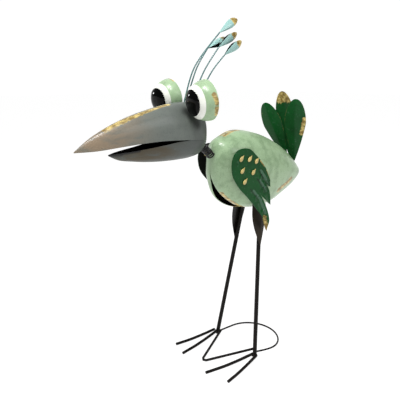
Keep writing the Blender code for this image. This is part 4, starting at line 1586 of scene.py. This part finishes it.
@dataclass
class Feet:
    """Toes, the rod bent to a V between the feet, the hoop behind them and the ankles' welds."""

    ground: float = 0.0015
    toe: float = 0.0058
    inner: float = 0.0050
    hoop: float = 0.0036
    heel_rise: float = 0.0068
    heel_run: float = 0.0720
    outer_heel_ahead: float = 0.0030
    inner_reach: float = 0.0918
    inner_bend: float = 0.0050
    inner_heel_back: float = 0.0020
    hoop_radius: float = 0.0605
    hoop_back: float = 0.0418
    middle_tips: dict[Side, Place] = by_side((0.0355, -0.1149), (0.0442, -0.1099))
    outer_tips: dict[Side, Place] = by_side((0.0826, -0.0996), (0.0795, -0.1013))
    inner_rise: dict[Side, float] = by_side(0.0120, 0.0095)
    hoop_rise: dict[Side, float] = by_side(0.0090, 0.0040)
    hoop_run: dict[Side, float] = by_side(0.0850, 0.0400)
    # How a rod's rise fades to the ground, as an exponent
    settling: float = 1.5
    heel_points: int = 12
    hoop_points: int = 60
    arm_points: int = 10
    weld_radius: float = 0.0056
    weld_ahead: float = 0.0015

    def toe_line(self, heel: Place, tip: Place, radius: float) -> list[Point]:
        """Return a toe's centre line, which comes down from its heel and then lies flat.

        Args:
            heel: Where it starts.
            tip: Where it ends.
            radius: The rod's radius.

        Returns:
            The line's points.
        """
        start = Vector(heel)
        run = (Vector(tip) - start).normalized()
        height = self.ground + radius
        points = []
        for index in range(self.heel_points + 1):
            share = index / self.heel_points
            place = start + run * (self.heel_run * share)
            points.append((*place, height + self.heel_rise * (1 - share) ** self.settling))
        return points + [(*tip, height)]

    def hoop_line(self, legs: Legs) -> list[Point]:
        """Return the hoop's centre line from the left ankle round to the right one.

        Args:
            legs: The legs that the feet join.

        Returns:
            The line's points.
        """
        radius = self.hoop / 2
        height = self.ground + radius
        leg = legs.diameter / 2 + FIT_GAP
        places: list[Place] = []
        for index in range(self.hoop_points + 1):
            angle = math.pi * index / self.hoop_points
            out, back = self.hoop_radius * math.cos(angle), self.hoop_radius * math.sin(angle)
            places.append((out, self.hoop_back + back))
        for side in Side:
            ankle = legs.line(side, height + self.hoop_rise[side])
            start = ankle.y + leg + legs.lean_back * radius + radius
            arm = []
            for index in range(1, self.arm_points + 1):
                share = 1 - index / self.arm_points
                spread = (side.value * self.hoop_radius - ankle.x) * math.sin(math.pi / 2 * share)
                arm.append((ankle.x + spread, start + (self.hoop_back - start) * share))
            places = arm[::-1] + places if side is Side.LEFT else places + arm
        points = []
        for out, back in places:
            side = Side.LEFT if out > 0 else Side.RIGHT
            down = (back - legs.ankle[1] - leg - self.hoop) / self.hoop_run[side]
            down = min(1.0, max(0.0, down))
            rise = self.hoop_rise[side] * (1 - down) ** self.settling
            points.append((out, back, height + rise))
        return points

    def inner_line(self, legs: Legs) -> list[Point]:
        """Return the V rod's centre line from the right ankle to the left one.

        Args:
            legs: The legs that the feet join.

        Returns:
            The line's points.
        """
        radius = self.inner / 2
        height = self.ground + radius
        leg = legs.diameter / 2 + FIT_GAP
        arms = {}
        for side in Side:
            top = height + self.inner_rise[side]
            ankle = legs.line(side, top)
            heel = Vector((ankle.x - side.value * (leg + legs.lean_in * radius + radius),
                           ankle.y + self.inner_heel_back, top))
            bend = Vector((side.value * self.inner_bend,
                           -self.inner_reach + self.inner_bend * 0.7, height))
            arms[side] = [tuple(heel.lerp(bend, index / 8)) for index in range(9)]
        nose = (0.0, -self.inner_reach, height)
        return arms[Side.RIGHT] + [nose] + arms[Side.LEFT][::-1]

    def weld(self, place: Vector, radius: float) -> Mesh:
        """Return a lumpy bead of weld metal round a place.

        Args:
            place: The bead's middle.
            radius: Its radius.

        Returns:
            The bead's mesh.
        """
        made = bmesh.new()
        bmesh.ops.create_icosphere(made, subdivisions=4, radius=radius)
        for vertex in made.verts:
            x, y, z = vertex.co / radius
            lump = 0.10 * math.sin(5 * x + 1.3) * math.cos(4 * y) + 0.07 * math.sin(7 * z + 3 * y)
            vertex.co = vertex.co * (1 + lump)
        mesh = mesh_from(made, "weld")
        mesh.materials.append(ROD_BLACK.material())
        return carried(mesh, place)

    def build(self, legs: Legs) -> None:
        """Add the toes, the V rod, the hoop and the welds.

        Args:
            legs: The legs that the feet join.
        """
        recipe = rod_recipe()
        leg = legs.diameter / 2 + FIT_GAP
        radius = self.toe / 2
        values = {"Radius": radius, "Sides": 24, "Material": ROD_BLACK.material()}
        for side in Side:
            ankle = legs.line(side, self.ground + self.heel_rise + radius)
            out, back = self.middle_tips[side]
            tip = Vector((side.value * out, back))
            heel = ankle.xy + (tip - ankle.xy).normalized() * (leg + legs.lean_back * radius)
            beside = side.value * (leg + legs.lean_in * radius + radius)
            out, back = self.outer_tips[side]
            lines = {"middle": self.toe_line(tuple(heel), tuple(tip), radius),
                     "outer": self.toe_line((ankle.x + beside, ankle.y - self.outer_heel_ahead),
                                            (side.value * out, back), radius)}
            for toe, line in lines.items():
                mesh = carried(recipe.run(line_mesh(line), values), STEP)
                publish(f"{side.word}_{toe}_toe_rod", mesh, [f"{side.word}_toe_{toe}"])
            place = Vector((ankle.x, ankle.y - self.weld_ahead, self.ground + self.heel_rise))
            weld = self.weld(STEP + place, self.weld_radius)
            publish(side.word + "_ankle_weld", weld, [])
        for name, node, line, width in (
                ("inner_toe_rod", "inner_toes", self.inner_line(legs), self.inner),
                ("hoop_wire", "foot_hoop", self.hoop_line(legs), self.hoop)):
            mesh = recipe.run(line_mesh(line), {**values, "Radius": width / 2})
            publish(name, carried(mesh, STEP), [node])


@dataclass
class Studio:
    """Pale floor, soft lamps and the camera at the photograph's place."""

    eye: Point = (0.6249, -0.6103, 0.5630)
    pitch: float = 74.6
    heading: float = 50.8
    focal: float = 41.4
    aim: Point = (0.0, 0.02, 0.36)
    wall: Point = (-0.775, 0.632, 0.0)
    front_light: float = 0.14
    paper_glow: float = 0.92
    back_light: float = 1.05
    # Where the sky starts to brighten towards the wall, and where it is brightest
    wall_edge: Place = (0.35, 0.85)
    floor_reach: float = 12.0
    floor_drop: float = 0.0002
    # Way from the bird, distance, side and watts of each lamp
    lamps: dict[str, tuple[Point, float, float, float]] = field(default_factory=lambda: {
        "overhead_box": ((0.10, -0.40, 0.91), 1.6, 0.34, 20),
        "second_overhead_box": ((0.36, -0.40, 0.85), 1.6, 0.26, 7),
        "side_box": ((1.00, 0.15, 0.60), 2.0, 0.80, 9),
        "glint_box": ((-0.85, -0.44, 0.20), 2.0, 0.14, 5),
    })

    def floor(self) -> None:
        """Add the floor."""
        made = bmesh.new()
        bmesh.ops.create_grid(made, x_segments=1, y_segments=1, size=self.floor_reach)
        mesh = mesh_from(made, "floor")
        paper = FLOOR_WHITE.material()
        shader = paper.node_tree.nodes["Principled BSDF"]
        shader.inputs["Emission Color"].default_value = WHITE
        shader.inputs["Emission Strength"].default_value = self.paper_glow
        mesh.materials.append(paper)
        plane = linked("floor", mesh)
        plane.location = (0, 0, -self.floor_drop)

    def lamp(self, name: str, way: Point, distance: float, size: float, power: float) -> None:
        """Add a square soft lamp that looks at the bird.

        Args:
            name: The lamp's name.
            way: The way from the bird to the lamp.
            distance: How far it is.
            size: Its side.
            power: Its power in watts.
        """
        data = bpy.data.lights.new(name, "AREA")
        data.size = size
        data.energy = power
        made = linked(name, data)
        target = STEP + Vector(self.aim)
        made.location = target + Vector(way).normalized() * distance
        made.rotation_euler = (target - made.location).to_track_quat("-Z", "Y").to_euler()

    def sky(self, scene: bpy.types.Scene) -> None:
        """Light the studio's white back wall, and leave its front dim.

        Args:
            scene: The scene that gets the studio.
        """
        world = bpy.data.worlds.new("studio_white")
        scene.world = world
        world.use_nodes = True
        tree = world.node_tree
        way = add_node(tree, "ShaderNodeTexCoord", {}).outputs["Generated"]
        ahead = add_node(tree, "ShaderNodeVectorMath", {0: way, 1: self.wall},
                         operation="DOT_PRODUCT")
        inputs = {"Value": ahead.outputs["Value"], "From Min": self.wall_edge[0],
                  "From Max": self.wall_edge[1], "To Min": self.front_light,
                  "To Max": self.back_light}
        ramp = add_node(tree, "ShaderNodeMapRange", inputs, interpolation_type="SMOOTHSTEP")
        backdrop = tree.nodes["Background"]
        backdrop.inputs["Color"].default_value = WHITE
        tree.links.new(ramp.outputs["Result"], backdrop.inputs["Strength"])

    def build(self) -> None:
        """Add the floor, lamps, sky and camera."""
        self.floor()
        scene = bpy.context.scene
        scene.view_settings.view_transform = "Standard"
        self.sky(scene)
        for name, (way, distance, size, power) in self.lamps.items():
            self.lamp(name, way, distance, size, power)
        data = bpy.data.cameras.new("photo_camera")
        data.lens = self.focal
        data.sensor_width = 36.0
        camera = linked("photo_camera", data)
        camera.location = STEP + Vector(self.eye)
        camera.rotation_euler = (math.radians(self.pitch), 0.0, math.radians(self.heading))
        scene.camera = camera


STEP = drawing_step()
MIDDLE = STEP.x

MINT_BODY = Finish(
    "mint_body", MINT, MINT_SHADE, MINT_LIGHT, roughness=0.30, speck_share=0.62, hammer=0.0004,
    mirrored=True,
    strokes=(
        Stroke((0.0045, 0.0390, 0.4510), (0.0045, 0.0540, 0.4575), 0.0052),
        Stroke((0.0045, 0.0540, 0.4575), (0.0045, 0.0720, 0.4595), 0.0045),
        Stroke((0.0080, 0.0310, 0.3455), (0.0100, 0.0540, 0.3265), 0.0070),
        Stroke((0.0100, 0.0540, 0.3265), (0.0090, 0.0830, 0.3105), 0.0070),
        Stroke((0.0345, 0.1600, 0.3365), (0.0330, 0.1960, 0.3545), 0.0075),
    ))
MINT_EYE = Finish(
    "mint_eye", MINT, MINT_SHADE, MINT_LIGHT, roughness=0.32, speck_share=0.35, mirrored=True,
    strokes=(
        Stroke((0.0790, -0.0515, 0.5300), (0.0812, -0.0476, 0.5175), 0.0050),
        Stroke((0.0800, -0.0465, 0.5090), (0.0735, -0.0435, 0.5010), 0.0050),
        Stroke((0.0480, -0.0440, 0.5530), (0.0360, -0.0440, 0.5500), 0.0045),
    ))
BEAK_UPPER = BeakFinish(
    "beak_upper", BEAK_GREY, BEAK_SHADE, BEAK_GREY, roughness=0.42, coat=0.1, speck=0.0022,
    speck_share=0.4,
    strokes=(
        Stroke((0.0030, -0.2010, 0.4810), (0.0050, -0.1500, 0.4990), 0.0064),
        Stroke((0.0050, -0.1500, 0.4990), (0.0030, -0.0880, 0.5130), 0.0062),
    ),
    # Painted shadow under the near eye, on the side of the head
    soot=(Stroke((0.0240, -0.0640, 0.5030), (0.0285, -0.0440, 0.4800), 0.0062),))
BEAK_LOWER = BeakFinish(
    "beak_lower", BEAK_SHADE, BEAK_SHADE, BEAK_GREY, roughness=0.45, coat=0.05, speck=0.0022,
    speck_share=0.4,
    tan=BEAK_TAN_BELOW, tan_span=(-0.060, -0.115),
    # Dark strokes along the near rim towards the tip of the lower beak
    soot=(
        Stroke((-0.0007, -0.1960, 0.4410), (0.0077, -0.1796, 0.4429), 0.0030),
        Stroke((0.0077, -0.1796, 0.4429), (0.0150, -0.1500, 0.4455), 0.0020),
    ),
    soot_share=1.0)
WING_GREEN = FeatherFinish(
    "wing_green", GREEN, GREEN_SHADE, GREEN_GREY, roughness=0.30, coat=0.0, specular=0.16,
    speck=0.0030, mirrored=True, edge_share=0.0,
    # Painted highlights: the lit grey-green faces beside the three creases
    painted_highlights=(
        Stroke((0.0490, 0.0915, 0.3880), (0.0490, 0.1140, 0.3590), 0.0034),
        Stroke((0.0490, 0.0900, 0.3690), (0.0490, 0.1095, 0.3440), 0.0034),
        Stroke((0.0490, 0.1095, 0.3440), (0.0485, 0.1210, 0.3220), 0.0028),
        Stroke((0.0490, 0.0740, 0.3510), (0.0490, 0.0930, 0.3310), 0.0036),
        Stroke((0.0490, 0.0930, 0.3310), (0.0480, 0.1090, 0.3010), 0.0038),
    ),
    # Painted shade in the upper ends of the three creases
    soot=(
        Stroke((0.0490, 0.0870, 0.3870), (0.0490, 0.0990, 0.3710), 0.0013),
        Stroke((0.0490, 0.0835, 0.3720), (0.0490, 0.1060, 0.3465), 0.0014),
        Stroke((0.0490, 0.0660, 0.3555), (0.0490, 0.0880, 0.3330), 0.0015),
    ),
    soot_share=1.0,
    strokes=(
        Stroke((0.0490, 0.0920, 0.4060), (0.0490, 0.1010, 0.3960), 0.0036),
        Stroke((0.0490, 0.1090, 0.3870), (0.0490, 0.1175, 0.3720), 0.0036),
        Stroke((0.0480, 0.1070, 0.2930), (0.0465, 0.1165, 0.2660), 0.0062),
    ))
TAIL_LEFT = FeatherFinish(
    "tail_left_green", GREEN, GREEN_SHADE, GREEN_GREY, roughness=0.32, coat=0.0, specular=0.16,
    speck=0.0030,
    strokes=(Stroke((0.0470, 0.2095, 0.4740), (0.0360, 0.2175, 0.4440), 0.0052),))
TAIL_MIDDLE = FeatherFinish(
    "tail_middle_green", GREEN, GREEN_SHADE, GREEN_SHADE, roughness=0.34, coat=0.0, specular=0.16,
    speck=0.0030,
    tip=0.70)
TAIL_RIGHT = FeatherFinish(
    "tail_right_green", GREEN, GREEN_SHADE, GREEN_GREY, roughness=0.32, coat=0.0, specular=0.16,
    speck=0.0030,
    strokes=(Stroke((-0.0500, 0.1880, 0.4800), (-0.0420, 0.1920, 0.4560), 0.0040),))
SPOON_AQUA = FeatherFinish(
    "spoon_aqua", AQUA, AQUA_WIRE, AQUA_PALE, roughness=0.28, coat=0.3, speck=0.0040,
    speck_share=0.12, edge_share=0.0, tip=0.54)
WIRE_AQUA = Finish("wire_aqua", AQUA_WIRE, AQUA_WIRE, AQUA_WIRE, roughness=0.35)
CREAM = Finish("eye_cream", EYE_CREAM, EYE_CREAM, EYE_CREAM, roughness=0.25, coat=0.5)
PUPIL = Finish("pupil_gloss", JET, JET, JET, roughness=0.05, coat=0.0, specular=0.10)
INNER_BLACK = Finish(
    "inner_black", BLACK, BLACK, BROWN_BLACK, roughness=0.6, coat=0.0, specular=0.1)
ROD_BLACK = Finish(
    "rod_black_paint", BROWN_BLACK, BLACK, BROWN, roughness=0.45, coat=0.0, specular=0.12)
SPRING_BLACK = Finish(
    "spring_black_paint", BLACK, BLACK, BROWN_BLACK, roughness=0.20, coat=0.0, specular=0.45)
THIGHS = {
    Side.LEFT: Finish(
        "thigh_brown_paint", BROWN, BROWN_BLACK, BROWN, roughness=0.42, coat=0.0, specular=0.18,
        speck=0.003),
    Side.RIGHT: Finish(
        "thigh_black_paint", BROWN_BLACK, BLACK, BROWN_BLACK, roughness=0.36, coat=0.0,
        specular=0.25, speck=0.003),
}
LOUVRE_GOLD = Finish(
    "louvre_gold", GOLD_LIGHT, GOLD, GOLD_LIGHT, roughness=0.35, coat=0.3, speck=0.002)
FLOOR_WHITE = Finish("floor_white", PALE, PALE, PALE, roughness=0.9, coat=0.0, specular=0.0)


def main() -> None:
    """Build every piece of the bird, then the studio round it."""
    logging.basicConfig(level=logging.INFO, format="%(message)s")
    legs = Legs()
    Body().build()
    Head().build()
    Eyes().build()
    Neck().build()
    Crest().build()
    Wings().build()
    Tail().build()
    legs.build()
    Feet().build(legs)
    Studio().build()


if __name__ == "__main__":
    main()
